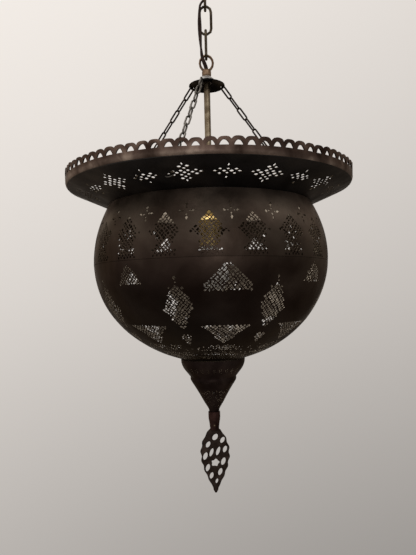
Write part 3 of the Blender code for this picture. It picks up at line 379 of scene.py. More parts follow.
def paint_light_by_height(material, low, high, drift, tones):
    """Multiplies a colour by tones of painted light and shade that change with height, wander and darken to the left.
    """
    tree = material.node_tree
    shader = tree.nodes["Principled BSDF"]
    colour = shader.inputs["Base Color"].links[0].from_socket
    split = add_node(tree, "ShaderNodeSeparateXYZ")
    tree.links.new(tree.nodes["place"].outputs["Object"], split.inputs["Vector"])
    level = map_range(tree, split.outputs["Z"], low, high)
    wander = noise(tree, 9, detail=5, distortion=0.6)
    level = calculate(tree, "ADD", level, calculate(tree, "MULTIPLY_ADD", wander, drift, -0.5 * drift))
    aside = calculate(tree, "MULTIPLY", split.outputs["X"], TONE_PER_METRE_ASIDE)
    level = calculate(tree, "ADD", level, aside)
    mixed = add_node(tree, "ShaderNodeMix", data_type="RGBA", blend_type="MULTIPLY")
    mixed.inputs["Factor"].default_value = 1
    tree.links.new(colour, mixed.inputs[MIX_A])
    tree.links.new(ramp(tree, level, tones), mixed.inputs[MIX_B])
    tree.links.new(mixed.outputs[MIX_RESULT], shader.inputs["Base Color"])


# The bowl's patina, with painted shade that darkens it towards the mouth and a painted highlight on the neck.
bowl_skin = worn_metal(
    "bowl_patina_and_painted_light", (0.064, 0.046, 0.035), (0.106, 0.082, 0.064), (0.16, 0.131, 0.102), (0.42, 0.6), 14)
paint_light_by_height(bowl_skin, SEAM + MOUTH_HEIGHT, SEAM + NECK_HEIGHT, 0.5,
                [(0.0, (0.075, 0.077, 0.082)), (0.2, (0.112, 0.106, 0.113)), (0.5, (0.18, 0.152, 0.158)),
                 (0.66, (0.33, 0.3, 0.3)), (0.82, (0.52, 0.52, 0.52)), (0.96, (1.0, 0.98, 1.0))])
brim_skin = worn_metal(
    "brim_patina", (0.015, 0.0135, 0.013), (0.024, 0.0215, 0.0205), (0.038, 0.032, 0.028), (0.45, 0.65), 16)
# A darker copy of the inside finish, as painted shade on the insides of the upper bowl, the gallery and the cup.
upper_inside_painted_shade = worn_metal(
    "upper_inside_painted_shade", (0.0255, 0.0187, 0.0136), (0.051, 0.0391, 0.0289), (0.102, 0.0808, 0.0595),
    (0.5, 0.7), 20)
brim_inside = worn_metal(
    "brim_inside", (0.16, 0.134, 0.104), (0.25, 0.215, 0.172), (0.36, 0.32, 0.265), (0.45, 0.65), 16)
# A lighter copy of the inside finish, as painted light on the insides of the lower bowl and the cone.
lower_inside_painted_light = worn_metal(
    "lower_inside_painted_light", (0.07, 0.054, 0.04), (0.14, 0.116, 0.089), (0.28, 0.245, 0.2),
    (0.5, 0.7), 40, metallic=0.4)
cut_edge = worn_metal(
    "cut_edges", (0.05, 0.038, 0.026), (0.1, 0.08, 0.056), (0.18, 0.15, 0.11), (0.35, 0.55), 60)
pale_edge = worn_metal(
    "pale_edges", (0.12, 0.1, 0.08), (0.26, 0.22, 0.17), (0.5, 0.44, 0.36), (0.35, 0.55), 60)
# The band's patina, with a painted highlight that lightens its rounded foot below the darker scallops.
rim_skin = worn_metal(
    "rim_patina_and_painted_highlight", (0.045, 0.031, 0.025), (0.125, 0.093, 0.077), (0.29, 0.235, 0.195), (0.38, 0.58), 32)
paint_light_by_height(rim_skin, SEAM + BRIM_HEIGHT, SEAM + BRIM_HEIGHT + GALLERY_HEIGHT, 0.35,
                [(0.0, (1.0, 0.97, 0.94)), (0.14, (0.95, 0.92, 0.9)), (0.3, (0.62, 0.56, 0.54)),
                 (0.6, (0.48, 0.42, 0.4)), (1.0, (0.6, 0.53, 0.5))])
finial_skin = worn_metal(
    "finial_patina", (0.0088, 0.0055, 0.00495), (0.0154, 0.0099, 0.0088), (0.0275, 0.0187, 0.016),
    (0.4, 0.6), 40)
leaf_skin = worn_metal(
    "leaf_patina", (0.014, 0.0091, 0.007), (0.0238, 0.0168, 0.014), (0.042, 0.0294, 0.0238),
    (0.4, 0.6), 90, bump=0.6)
socket_skin = worn_metal(
    "socket_patina", (0.018, 0.009, 0.0078), (0.033, 0.0168, 0.0144), (0.054, 0.03, 0.0252), (0.4, 0.6), 60)
brass = worn_metal(
    "tarnished_brass", (0.076, 0.056, 0.0352), (0.152, 0.117, 0.0768), (0.256, 0.212, 0.148),
    (0.25, 0.45), 60, bump=0.15)
link_bronze = worn_metal(
    "link_bronze", (0.027, 0.0198, 0.0135), (0.0675, 0.0522, 0.036), (0.162, 0.135, 0.099),
    (0.3, 0.5), 80, bump=0.12)
bronze = worn_metal(
    "loop_bronze", (0.08, 0.048, 0.0304), (0.16, 0.104, 0.068), (0.288, 0.208, 0.136),
    (0.28, 0.48), 70, bump=0.2)
# A pale grey that stands for the light the collar's cone reflects: a painted reflection.
painted_reflection_grey = worn_metal(
    "collar_painted_reflection", (0.13, 0.125, 0.12), (0.24, 0.235, 0.225), (0.36, 0.35, 0.335),
    (0.25, 0.4), 70, metallic=0.4, bump=0.1)
gilt = worn_metal(
    "lampholder_brass", (0.35, 0.24, 0.09), (0.55, 0.4, 0.16), (0.7, 0.54, 0.25), (0.22, 0.4), 50, bump=0.1)
dark_wire = worn_metal(
    "dark_wire", (0.0112, 0.008, 0.0064), (0.0272, 0.02, 0.016), (0.06, 0.0448, 0.0352),
    (0.4, 0.6), 90, metallic=0.7, bump=0.08)
grey_wire = worn_metal(
    "grey_wire", (0.04, 0.0368, 0.032), (0.088, 0.0816, 0.072), (0.176, 0.164, 0.148),
    (0.38, 0.55), 90, metallic=0.8, bump=0.08)
black_plate = worn_metal(
    "black_plate", (0.0048, 0.0048, 0.0048), (0.009, 0.009, 0.009), (0.018, 0.0168, 0.0156), (0.28, 0.42), 60)
bright_cap = worn_metal(
    "cap_aluminium", (0.45, 0.45, 0.44), (0.6, 0.6, 0.59), (0.72, 0.72, 0.7), (0.25, 0.4), 80, bump=0.1)
flex_brown = worn_metal(
    "flex_brown", (0.012, 0.006, 0.005), (0.024, 0.013, 0.01), (0.045, 0.026, 0.021),
    (0.6, 0.75), 120, metallic=0.0, bump=0.1, grain=900)
flex_brown.node_tree.nodes["Principled BSDF"].inputs["Specular IOR Level"].default_value = 0.25
bush_black = worn_metal(
    "bush_black", (0.01, 0.01, 0.01), (0.02, 0.02, 0.02), (0.035, 0.035, 0.033), (0.4, 0.6), 90, metallic=0.0)
pale_floor = worn_metal(
    "pale_floor", (0.48, 0.46, 0.44), (0.52, 0.5, 0.48), (0.55, 0.53, 0.51),
    (0.85, 0.95), 2, metallic=0.0, bump=0.05)
glaze = worn_metal(
    "porcelain_glaze", (0.66, 0.64, 0.58), (0.75, 0.73, 0.68), (0.82, 0.8, 0.76),
    (0.15, 0.3), 60, metallic=0.0, bump=0.05)
glass = worn_metal(
    "frosted_glass", (0.82, 0.82, 0.8), (0.88, 0.88, 0.86), (0.92, 0.92, 0.9),
    (0.35, 0.5), 40, metallic=0.0, bump=0.05)
glass.node_tree.nodes["Principled BSDF"].inputs["Transmission Weight"].default_value = 0.5


# Flex, in four lengths of two twisted strands


def cord_points():
    """Points of a smooth curve through the route, two for each span."""
    route = [Vector(p) * MM for p in CORD_ROUTE]
    ends = [2 * route[0] - route[1]] + route + [2 * route[-1] - route[-2]]
    points = []
    for a, b, c, d in zip(ends, ends[1:], ends[2:], ends[3:]):
        for t in (0, 0.5):
            points.append(0.5 * (2 * b + (c - a) * t + (2 * a - 5 * b + 4 * c - d) * t**2
                                 + (3 * b - a - 3 * c + d) * t**3))
    return points + [route[-1], Vector(CORD_END) * MM]


def densed(points, step):
    """The same line with points no further apart than a step."""
    line = [points[0]]
    for a, b in zip(points, points[1:]):
        count = max(1, math.ceil((b - a).length / step))
        line += [a.lerp(b, i / count) for i in range(1, count + 1)]
    return line


def twist(line, start_turn):
    """Each point of a line with two directions square to the line there and the turn of the strands."""
    along = 0.0
    across = Vector((0, 1, 0))
    rings = []
    for i, point in enumerate(line):
        ahead = (line[min(i + 1, len(line) - 1)] - line[max(i - 1, 0)]).normalized()
        across = (across - across.dot(ahead) * ahead).normalized()
        if i:
            along += (point - line[i - 1]).length
        rings.append((point, across, ahead.cross(across), start_turn + math.tau * along / TWIST_PITCH))
    return rings


def twisted_pair(name, points, start_turn):
    """Two strands wound round each other along a line, and the turn that they end with."""
    rings = twist(densed(points, STRAND_STEP), start_turn)
    vertices, faces = [], []
    for strand in (0, math.pi):
        first = len(vertices)
        for point, across, other, turn in rings:
            out = across * math.cos(turn + strand) + other * math.sin(turn + strand)
            for k in range(STRAND_SIDES):
                angle = math.tau * k / STRAND_SIDES
                ring = across * math.cos(angle) + other * math.sin(angle)
                vertices.append(point + out * STRAND_OFFSET + ring * STRAND_RADIUS)
        for i in range(len(rings) - 1):
            start = first + i * STRAND_SIDES
            for k in range(STRAND_SIDES):
                a, b = start + k, start + (k + 1) % STRAND_SIDES
                faces.append((a, b, b + STRAND_SIDES, a + STRAND_SIDES))
        faces.append([first + k for k in range(STRAND_SIDES)][::-1])
        faces.append([len(vertices) - STRAND_SIDES + k for k in range(STRAND_SIDES)])
    return link_object(name, new_mesh(name, vertices, faces, [flex_brown])), rings[-1][3]


def add_flex():
    """Four lengths of flex, each of which bends across one joint."""
    points = cord_points()
    starts = [2 * start for start in CORD_STARTS]
    ends = [start + 1 for start in starts[1:]] + [len(points)]
    turn = FIRST_TURN
    for number, (above, below, height) in enumerate(CORD_JOINTS):
        path = points[starts[number]:ends[number]]
        flex, turn = twisted_pair(f"flex_{number + 1}", path, turn)
        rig.blend(flex, above, below, (0, 0, height + BEND_REACH), (0, 0, height - BEND_REACH))
        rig.replaces(flex, f"cord_{number + 1}")
        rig.slot(flex, "brown_cord")
        length = sum((b - a).length for a, b in zip(path, path[1:]))
        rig.cord(flex, exit=path[0], length=length, diameter=CORD_DIAMETER, far_end="object", stiffness="limp",
                lay="hanging", path=path, with_pieces=["cord_bush"] if number == 0 else [])


add_flex()


# Pierced sheet

# Beating as waves: number round the sheet, rise in radians per metre of height, start, size in millimetres
DENT_WAVES = (
    (3, 9, 0.4, 0.5),
    (5, -23, 1.9, 0.4),
    (8, 31, 4.1, 0.3),
    (13, 47, 2.2, 0.2),
    (21, -60, 0.7, 0.12),
)
# Columns in each of two waves of a freehand lattice
WIDE_SWAY = 7
NARROW_SWAY = 5
HAND_SPREAD = 0.15
HOLE_HEIGHTS = (0.93, 1.05)
HOLE_BULGES = (0.9, 1.05)


def profile_rows(profile, rows):
    """Radius, height and outward normal at even steps along a profile that runs upwards."""
    points = np.array(profile)
    reach = np.concatenate([[0], np.cumsum(np.linalg.norm(np.diff(points, axis=0), axis=1))])
    at = np.linspace(0, reach[-1], rows + 1)
    radii = np.interp(at, reach, points[:, 0])
    heights = np.interp(at, reach, points[:, 1])
    slopes = np.stack([np.gradient(radii), np.gradient(heights)], 1)
    slopes /= np.linalg.norm(slopes, axis=1)[:, None]
    return [(r, z, s[1], -s[0]) for r, z, s in zip(radii, heights, slopes)]


def bowl_profile(low, high, steps=60):
    """The bowl's curve between two heights over its seam."""
    profile = []
    for height in np.linspace(low, high, steps):
        reach = UPPER_HEIGHT if height > 0 else LOWER_HEIGHT
        profile.append((BOWL_RADIUS * math.sqrt(1 - (height / reach) ** 2), SEAM + height))
    return profile


def dent(azimuth, height):
    """How far the beaten sheet stands off its true turned shape."""
    return MM * sum(size * math.sin(count * azimuth + rise * height + start)
                    for count, rise, start, size in DENT_WAVES)


class Sheet:
    """A sheet under construction: points of its outer and inner skin, faces and cut edges."""

    def __init__(self):
        self.outer = []
        self.inner = []
        self.faces = []
        self.rims = []
        self.edges = []

    def add_point(self, rows, columns, column, row, wall, dents):
        """A point of both skins, beaten less towards the first and last rows."""
        low = min(max(int(math.floor(row)), 0), len(rows) - 2)
        share = row - low
        radius, height, out, rise = (a + (b - a) * share for a, b in zip(rows[low], rows[low + 1]))
        azimuth = math.tau * column / columns
        off = dents * dent(azimuth, height) * math.sin(math.pi * min(max(row / (len(rows) - 1), 0), 1)) ** 0.5
        side, front = math.sin(azimuth), -math.cos(azimuth)
        for skin, depth in ((self.outer, off), (self.inner, off - wall)):
            reach = radius + out * depth
            skin.append((reach * side, reach * front, height + rise * depth))
        return len(self.outer) - 1

    def add_strip(self, rows, columns, hole_at, wall=SHEET, dents=1.0, creases=(), phase=0.0, sway=0.0):
        """A ring of rhombs: a cell stands where column and row add up to an even number."""
        corners = {}
        last = len(rows) - 1
        shift = phase * columns / math.tau

        def point(column, row):
            """A point of the lattice, which sways as a freehand one does, but not at its edges."""
            turn = math.tau * column / columns
            wide, narrow = turn * (columns // WIDE_SWAY), turn * (columns // NARROW_SWAY)
            free = sway * min(1, row / 2, (last - row) / 2)
            aside = free * (math.sin(narrow + 1.7 * row) + 0.6 * math.sin(wide - 1.1 * row))
            up = free * (math.sin(wide + 1.3 * row + 2) + 0.6 * math.sin(narrow - 1.9 * row))
            return self.add_point(rows, columns, column + shift + aside, row + up, wall, dents)

        def corner(column, row):
            key = (column % columns, row)
            if key not in corners:
                corners[key] = point(*key)
            return corners[key]

        for row in range(last + 1):
            for column in range(row % 2, columns, 2):
                right, left = corner(column + 1, row), corner(column - 1, row)
                if row == 0:
                    self.faces.append((right, corner(column, 1), left))
                    self.rims.append((right, left))
                    continue
                if row == last:
                    self.faces.append((right, left, corner(column, row - 1)))
                    self.rims.append((left, right))
                    continue
                around = [right, corner(column, row + 1), left, corner(column, row - 1)]
                hole = hole_at(column, row)
                if hole is None and row in creases:
                    self.faces += [(around[0], around[1], around[2]), (around[2], around[3], around[0])]
                elif hole is None:
                    self.faces.append(tuple(around))
                else:
                    self.add_hole(around, hole, column, row, point)

    def add_hole(self, around, hole, column, row, point):
        """A rhomb with a hole of eight points: half sizes, bulge and shift, all in steps of the lattice."""
        half_width, half_height, bulge, aside, up = hole
        rim = []
        for along, rise in ((1, 0), (bulge, bulge), (0, 1), (-bulge, bulge),
                            (-1, 0), (-bulge, -bulge), (0, -1), (bulge, -bulge)):
            rim.append(point(column + aside + half_width * along, row + up + half_height * rise))
        for k in range(4):
            after = (2 * k + 2) % 8
            self.faces.append((around[k], around[(k + 1) % 4], rim[after], rim[2 * k + 1], rim[2 * k]))
        self.edges += [(rim[k], rim[(k + 1) % 8]) for k in range(8)]

    def finish(self, name, skins, slot, solid):
        """Makes a piece of the shade, with a finish each for its outside, its inside and its sawn edges."""
        count = len(self.outer)
        backs = [tuple(i + count for i in face[::-1]) for face in self.faces]
        cuts = [(a, b, b + count, a + count) for a, b in self.rims + self.edges]
        mesh = new_mesh(name, self.outer + self.inner, self.faces + backs + cuts, skins)
        kinds = [0] * len(self.faces) + [1] * len(backs) + [0] * len(self.rims) + [2] * len(self.edges)
        mesh.polygons.foreach_set("material_index", kinds)
        mesh.set_sharp_from_angle(angle=CREASE_ANGLE)
        stand_in(name, mesh, "shade", slot, solid)


def uneven(hole, spread=HAND_SPREAD):
    """The same hole, as a hand would saw it."""
    half_width, half_height, bulge, aside, up = hole
    size = 1 - rng.uniform(0, 2 * spread)
    reach = size * max(half_width, half_height, bulge * (half_width + half_height))
    slack = min(5 * spread, 1) * 0.45 * (1 - reach)
    return (half_width * size, half_height * size * rng.uniform(*HOLE_HEIGHTS),
            bulge * rng.uniform(*HOLE_BULGES),
            aside + rng.uniform(-slack, slack), up + rng.uniform(-slack, slack))


def half_width_at(outline, height):
    """Half-width of a figure at a height, from its heights and half-widths going up."""
    heights, widths = zip(*outline)
    if not heights[0] <= height <= heights[-1]:
        return -1
    return float(np.interp(height, heights, widths))


# Brim

BRIM_PERIOD = 22
BRIM_COLUMNS = 11 * BRIM_PERIOD
BRIM_PHASE = math.radians(7.2)
BRIM_FOOT_ROWS = 1
BRIM_ROWS = 16
LIP_ROWS = 2
FIGURE_ROW = 8 + BRIM_FOOT_ROWS
SMALL_REACH = 5
FOOT_INSET = 1.3 * MM
FOOT_DEPTH = 5.6 * MM
SLOPE_START = (-0.6 * MM, 0.2 * MM)
SLOPE_END = -0.9 * MM
LIP_HEIGHTS = (1 * MM, 7 * MM)
OVAL = (0.62, 0.58, 0.64, 0, 0)


def mirrored(cells):
    """Ovals in cells, by their columns and rows from a figure's middle, and in their mirror images."""
    return {(column * a, row * b): OVAL for column, row in cells for a in (1, -1) for b in (1, -1)}


SMALL_FIGURE = mirrored(((1, 0), (0, 1), (2, 1)))
LARGE_FIGURE = mirrored(((0, 0), (2, 0), (1, 1), (3, 1), (0, 2), (1, 3)))
for end in (-1, 1):
    for figure, reach in ((SMALL_FIGURE, 3), (LARGE_FIGURE, 4)):
        figure[(reach * end, 0)] = (0.74, 0.46, 0.56, 0.22 * end, 0)
        figure[(0, reach * end)] = (0.34, 0.86, 0.6, 0, 0.12 * end)
SMALL_FIGURE[(0, -3)] = (0.34, 0.6, 0.6, 0, -0.12)


def brim_hole(column, row):
    """Small and large figures in turn round the brim."""
    place = (column + SMALL_REACH) % BRIM_PERIOD - SMALL_REACH
    figure, centre = (SMALL_FIGURE, 0) if place <= SMALL_REACH else (LARGE_FIGURE, BRIM_PERIOD // 2)
    hole = figure.get((place - centre, row - FIGURE_ROW))
    return uneven(hole) if hole else None


def add_brim():
    """A foot inside the neck, the pierced slope and a lip inside the gallery."""
    neck = BOWL_RADIUS * math.sqrt(1 - (NECK_HEIGHT / UPPER_HEIGHT) ** 2)
    brim_foot = SEAM + NECK_HEIGHT
    edge = SEAM + BRIM_HEIGHT + SLOPE_END
    foot = profile_rows([(neck - FOOT_INSET, brim_foot - FOOT_DEPTH), (neck - FOOT_INSET, brim_foot)],
                        BRIM_FOOT_ROWS)
    slope = profile_rows([(neck + SLOPE_START[0], brim_foot + SLOPE_START[1]), (LIP_RADIUS, edge)], BRIM_ROWS)
    lip = profile_rows([(LIP_RADIUS, edge + height) for height in LIP_HEIGHTS], LIP_ROWS - 1)
    sheet = Sheet()
    sheet.add_strip(foot[:-1] + slope + lip, BRIM_COLUMNS, brim_hole, dents=0.8,
                    creases=(1, BRIM_ROWS + 1, BRIM_ROWS + 2), phase=BRIM_PHASE)
    sheet.finish("brim_sheet", (brim_skin, brim_inside, cut_edge), "aged_brass", "brim")


# Gallery

SCALLOPS = 82
SCALLOP_SHIFT = 0.14
# Places in parts of a scallop's width and drops in parts of a notch's depth
SCALLOP_TOP = ((-0.45, -0.66), (-0.39, -0.38), (-0.29, -0.15), (-0.15, -0.03), (0, 0),
               (0.15, -0.03), (0.29, -0.15), (0.39, -0.38), (0.45, -0.66))
SCALLOP_LIFTS = (-0.9, 0.3)
TOP_DROP = 0.4 * MM
ARCH_SILL = 11.4 * MM
ARCH_RISE = 6.9 * MM
ARCH_RISES = (0.85, 1.06)
ARCH_SHARE = 0.355
ARCH_SHARES = (0.86, 1.05)
ARCH_ROUNDNESS = 2.2
ARCH_LEAN = 0.03
PEAK_LEAN = 0.06
ARC_STEPS = len(SCALLOP_TOP) + 1
NOTCH_DEPTH = 5.2 * MM
NOTCH_DEPTHS = (0.75, 1.15)
NOTCH_LEAN = 0.05
FRONT_DIP = 1.8 * MM
# Azimuths in radians from the front
DIP_PLACE = -0.05
DIP_SPREAD = 0.2
# Rows from the arches down: place in a side, height and how far it is drawn in
BAND_ROWS = ((3, 5.2 * MM, 0), (2, 2.4 * MM, 0.5 * MM), (1, 0.8 * MM, 1.3 * MM), (0, 0, 2.6 * MM))
BAND_FOOT = SEAM + BRIM_HEIGHT - 0.5 * MM
BAND_INSET = 0.3 * MM
# Number round the band, start in radians and size in millimetres
BAND_WAVES = ((5, 1, 0.4), (17, 0, 0.4), (41, 2, 0.3))


def band_point(sheet, share, height, drawn_in=0.0):
    """A point of both skins of the band, its place counted in scallops round the brim."""
    azimuth = math.tau * (share + SCALLOP_SHIFT) / SCALLOPS
    swell = sum(size * MM * math.sin(count * azimuth + start) for count, start, size in BAND_WAVES)
    dip = FRONT_DIP * math.exp(-((math.remainder(azimuth, math.tau) - DIP_PLACE) / DIP_SPREAD) ** 2)
    tall = 1 - dip / GALLERY_HEIGHT
    for skin, radius in ((sheet.outer, BRIM_RADIUS - BAND_INSET), (sheet.inner, BRIM_RADIUS - GALLERY_WALL)):
        reach = radius + swell * height / GALLERY_HEIGHT - drawn_in
        skin.append((reach * math.sin(azimuth), -reach * math.cos(azimuth), BAND_FOOT + height * tall))
    return len(sheet.outer) - 1


def scallop_side(sheet, share, lean, notch):
    """The line where two scallops meet: the band's rows from its foot, the sills' height and the notch."""
    side = [band_point(sheet, share, height, drawn_in) for _, height, drawn_in in BAND_ROWS[::-1]]
    side.append(band_point(sheet, share, ARCH_SILL))
    side.append(band_point(sheet, share + lean, GALLERY_HEIGHT - notch))
    return side


def add_scallop(sheet, number, left, right, depths):
    """One scallop between its sides: a pierced arch and the band below it."""
    middle = number + rng.uniform(-ARCH_LEAN, ARCH_LEAN)
    wide = ARCH_SHARE * rng.uniform(*ARCH_SHARES)
    tall = ARCH_RISE * rng.uniform(*ARCH_RISES)
    peak = rng.uniform(-PEAK_LEAN, PEAK_LEAN)
    lift = rng.uniform(*SCALLOP_LIFTS) * MM
    arc = []
    for k in range(ARC_STEPS + 1):
        reach = -math.cos(math.pi * k / ARC_STEPS)
        height = tall * (1 - abs(reach) ** ARCH_ROUNDNESS)
        share = middle + wide * reach + peak * height / tall * (1 - abs(reach))
        arc.append(band_point(sheet, share, ARCH_SILL + height))
    top = [left[-1]]
    for share, drop in SCALLOP_TOP:
        depth = depths[0] if share < 0 else depths[1]
        height = GALLERY_HEIGHT + drop * depth + lift * (1 - abs(2 * share)) - TOP_DROP
        top.append(band_point(sheet, number + share, height))
    top.append(right[-1])
    for k in range(ARC_STEPS):
        sheet.faces.append((arc[k + 1], top[k + 1], top[k], arc[k]))
        sheet.edges.append((top[k], top[k + 1]))
        sheet.edges.append((arc[k + 1], arc[k]))
    sheet.faces.append((left[-2], arc[0], left[-1]))
    sheet.faces.append((right[-2], right[-1], arc[-1]))
    inner_shares = [middle - wide * math.cos(math.pi * k / ARC_STEPS) for k in range(1, ARC_STEPS)]
    sill = [left[-2], arc[0]] + [band_point(sheet, s, ARCH_SILL) for s in inner_shares] + [arc[-1], right[-2]]
    spread = [middle - wide] + inner_shares + [middle + wide]
    above = sill
    for level, height, drawn_in in BAND_ROWS:
        row = [left[level]] + [band_point(sheet, s, height, drawn_in) for s in spread] + [right[level]]
        for a, b, c, d in zip(above, above[1:], row[1:], row):
            sheet.faces.append((d, c, b, a))
        above = row
    sheet.edges += [(b, a) for a, b in zip(above, above[1:])]
    sheet.edges += [(a, b) for a, b in zip(sill[1:-1], sill[2:-1])]


def add_gallery():
    """A band of scallops, each with a pierced arch, as a sheet with an inner and an outer skin."""
    sheet = Sheet()
    notches = [NOTCH_DEPTH * rng.uniform(*NOTCH_DEPTHS) for _ in range(SCALLOPS)]
    leans = [rng.uniform(-NOTCH_LEAN, NOTCH_LEAN) for _ in range(SCALLOPS)]
    sides = [scallop_side(sheet, i - 0.5, leans[i], notches[i]) for i in range(SCALLOPS)]
    for i in range(SCALLOPS):
        after = (i + 1) % SCALLOPS
        add_scallop(sheet, i, sides[i], sides[after], (notches[i], notches[after]))
    # The arches' sawn edges take the near-black finial finish as painted shade.
    sheet.finish("gallery_band", (rim_skin, upper_inside_painted_shade, finial_skin), "reddish_brass", "gallery")


# Bowl

TREES = 19
TREE_COLUMNS = 20
UPPER_COLUMNS = TREE_COLUMNS * TREES
UPPER_ROWS = 30
TREE_WIDTHS = (0.94, 1.1)
TREE_LIFT = 1.5
FLOWER_ROW = 19
# Length, width and outward shift of holes one and three cells from a flower's middle
PETAL_HOLES = {1: (0.54, 0.48, 0.4), 3: (0.96, 0.66, 0.02)}
PETAL_BULGE = 0.56
TREE_PHASE = math.radians(-0.3)
# Figures by heights over the seam and half-widths, in millimetres
TREE = ((-3.5, 19), (5, 16), (13, 13), (21, 13), (26, 20), (31.5, 25), (36, 21), (42, 13.5), (47, 8), (52, 5),
        (58, 1.2))
CROWN_FOOT = 24
CROWN_TOP = 47
# Half sizes, bulge and shift, in steps of the lattice
FOOT_HOLE = (0.72, 0.68, 0.62, 0, 0)
ROUND_HOLE = (0.77, 0.73, 0.59, 0, 0)
CROWN_HOLE = (0.8, 0.76, 0.58, 0, 0)
LARGE_HOLE = (0.88, 0.82, 0.54, 0, 0)
FINE_HOLE = (0.62, 0.62, 0.62, 0, 0)
FINE_SHARE = 0.85
FINE_FADE = 0.017
LOWER_WALL = 0.6 * MM
PIT_WALL = 0.4 * MM
RAGGED = 0.25
RAGGED_FROM = 0.7
SWAY = 0.2
LOWER_FIGURES = 8
SIDE_COLUMNS = 50 * LOWER_FIGURES
SIDE_ROWS = 34
PIT_COLUMNS = 40 * LOWER_FIGURES
PIT_ROWS = 44
STRIP_BREAK = -96 * MM
LOWER_EDGE = SEAM_EDGE - 0.6 * MM
LOWER_SPREAD = 0.19
LAP_COLUMNS = 120
LAP_RADIUS = BOWL_RADIUS - 1.5 * MM
LAP_HEIGHTS = (-10 * MM, 3 * MM)
LOWER_PHASE = math.radians(7.2)
LARGE_PEAK = ((-49, 34.5), (-44, 33), (-25, 18.5), (-12.5, 1.2))
SMALL_PEAK = ((-38, 23), (-34, 22), (-24, 13), (-11, 1.2))
LOZENGE = ((-102, 1), (-72, 22.5), (-60, 17), (-51, 11), (-45, 9.5), (-43, 2), (-28, 1.3))
LOZENGE_LEAN = 0.22
LOZENGE_MIDDLE = -72
LOZENGE_REACH = 28
HANGING_PEAK = ((-124, 1), (-97, 34))
LOW_CLUSTER = ((-124, 1.5), (-112, 8), (-109, 3))
FINE_RINGS = ((-152, -139), (-136, -127))


def column_offset(column, period):
    """How many columns a cell stands from the nearest multiple of a period."""
    return (column + period // 2) % period - period // 2


def petal(column, row):
    """The hole that a flower between two trees has in a cell, if it has one there."""
    across, up = column_offset(column + TREE_COLUMNS // 2, TREE_COLUMNS), row - FLOWER_ROW
    if up == 0 and abs(across) in PETAL_HOLES:
        length, width, shift = PETAL_HOLES[abs(across)]
        return (length, width, PETAL_BULGE, math.copysign(shift, across), 0)
    if across == 0 and abs(up) in PETAL_HOLES:
        length, width, shift = PETAL_HOLES[abs(up)]
        return (width, length, PETAL_BULGE, 0, math.copysign(shift, up))
    return None


def add_upper_bowl():
    """The upper half, pierced with trees and with a flower between each two of them."""
    rows = profile_rows(bowl_profile(SEAM_EDGE, NECK_HEIGHT), UPPER_ROWS)
    widths = [rng.uniform(*TREE_WIDTHS) for _ in range(TREES)]
    lifts = [rng.uniform(-TREE_LIFT, TREE_LIFT) for _ in range(TREES)]

    def hole_at(column, row):
        radius, height = rows[row][:2]
        height = (height - SEAM) / MM
        step = math.tau * radius / MM / UPPER_COLUMNS
        aside = column_offset(column, TREE_COLUMNS)
        tree = round((column - aside) / TREE_COLUMNS) % TREES
        room = half_width_at(TREE, height - lifts[tree]) * widths[tree]
        if abs(aside) * step > room:
            return petal(column, row)
        if abs(aside) * step > RAGGED_FROM * room and rng.uniform() < RAGGED:
            return None
        if height > CROWN_TOP:
            return uneven(LARGE_HOLE)
        return uneven(CROWN_HOLE if height > CROWN_FOOT else FOOT_HOLE)

    sheet = Sheet()
    sheet.add_strip(rows, UPPER_COLUMNS, hole_at, phase=TREE_PHASE, sway=SWAY)
    sheet.finish("upper_bowl_sheet", (bowl_skin, upper_inside_painted_shade, cut_edge), "aged_brass", "bowl_upper")


def lower_holes(rows, columns):
    """The figures of the lower bowl: peaks, lozenges between them, hanging peaks, clusters and fine rings."""
    period = columns // LOWER_FIGURES

    def hole_at(column, row):
        radius, height = rows[row][:2]
        height = (height - SEAM) / MM
        step = math.tau * radius / MM / columns
        aside = abs(column_offset(column, period)) * step
        between = column_offset(column + period // 2, period) * step
        figure = round(column / period)
        peak = SMALL_PEAK if figure % 2 else LARGE_PEAK
        lean = LOZENGE_LEAN if (column // period) % 2 else -LOZENGE_LEAN
        leaning = min(1.0, max(0.0, 1 - abs(height - LOZENGE_MIDDLE) / LOZENGE_REACH)) * lean * between
        for outline, distance, level in ((peak, aside, height), (LOZENGE, abs(between), height - leaning),
                                         (HANGING_PEAK, aside, height), (LOW_CLUSTER, abs(between), height)):
            if distance <= half_width_at(outline, level):
                return uneven(ROUND_HOLE, LOWER_SPREAD)
        in_ring = any(low < height < high for low, high in FINE_RINGS)
        if in_ring and rng.uniform() < FINE_SHARE - FINE_FADE * aside:
            return uneven(FINE_HOLE)
        return None

    return hole_at


def add_lower_bowl():
    """The lower half as two strips, with a plain one that laps the seam from inside."""
    side = profile_rows(bowl_profile(STRIP_BREAK, LOWER_EDGE), SIDE_ROWS)
    pit = profile_rows(bowl_profile(MOUTH_HEIGHT, STRIP_BREAK), PIT_ROWS)
    lap = profile_rows([(LAP_RADIUS, SEAM + height) for height in LAP_HEIGHTS], 2)
    sheet = Sheet()
    for rows, columns, wall in ((side, SIDE_COLUMNS, LOWER_WALL), (pit, PIT_COLUMNS, PIT_WALL)):
        sheet.add_strip(rows, columns, lower_holes(rows, columns), wall=wall, phase=LOWER_PHASE, sway=SWAY)
    sheet.add_strip(lap, LAP_COLUMNS, lambda column, row: None, dents=0)
    sheet.finish("lower_bowl_sheet", (bowl_skin, lower_inside_painted_light, pale_edge), "aged_brass", "bowl_lower")


# Finial, with heights over the seam

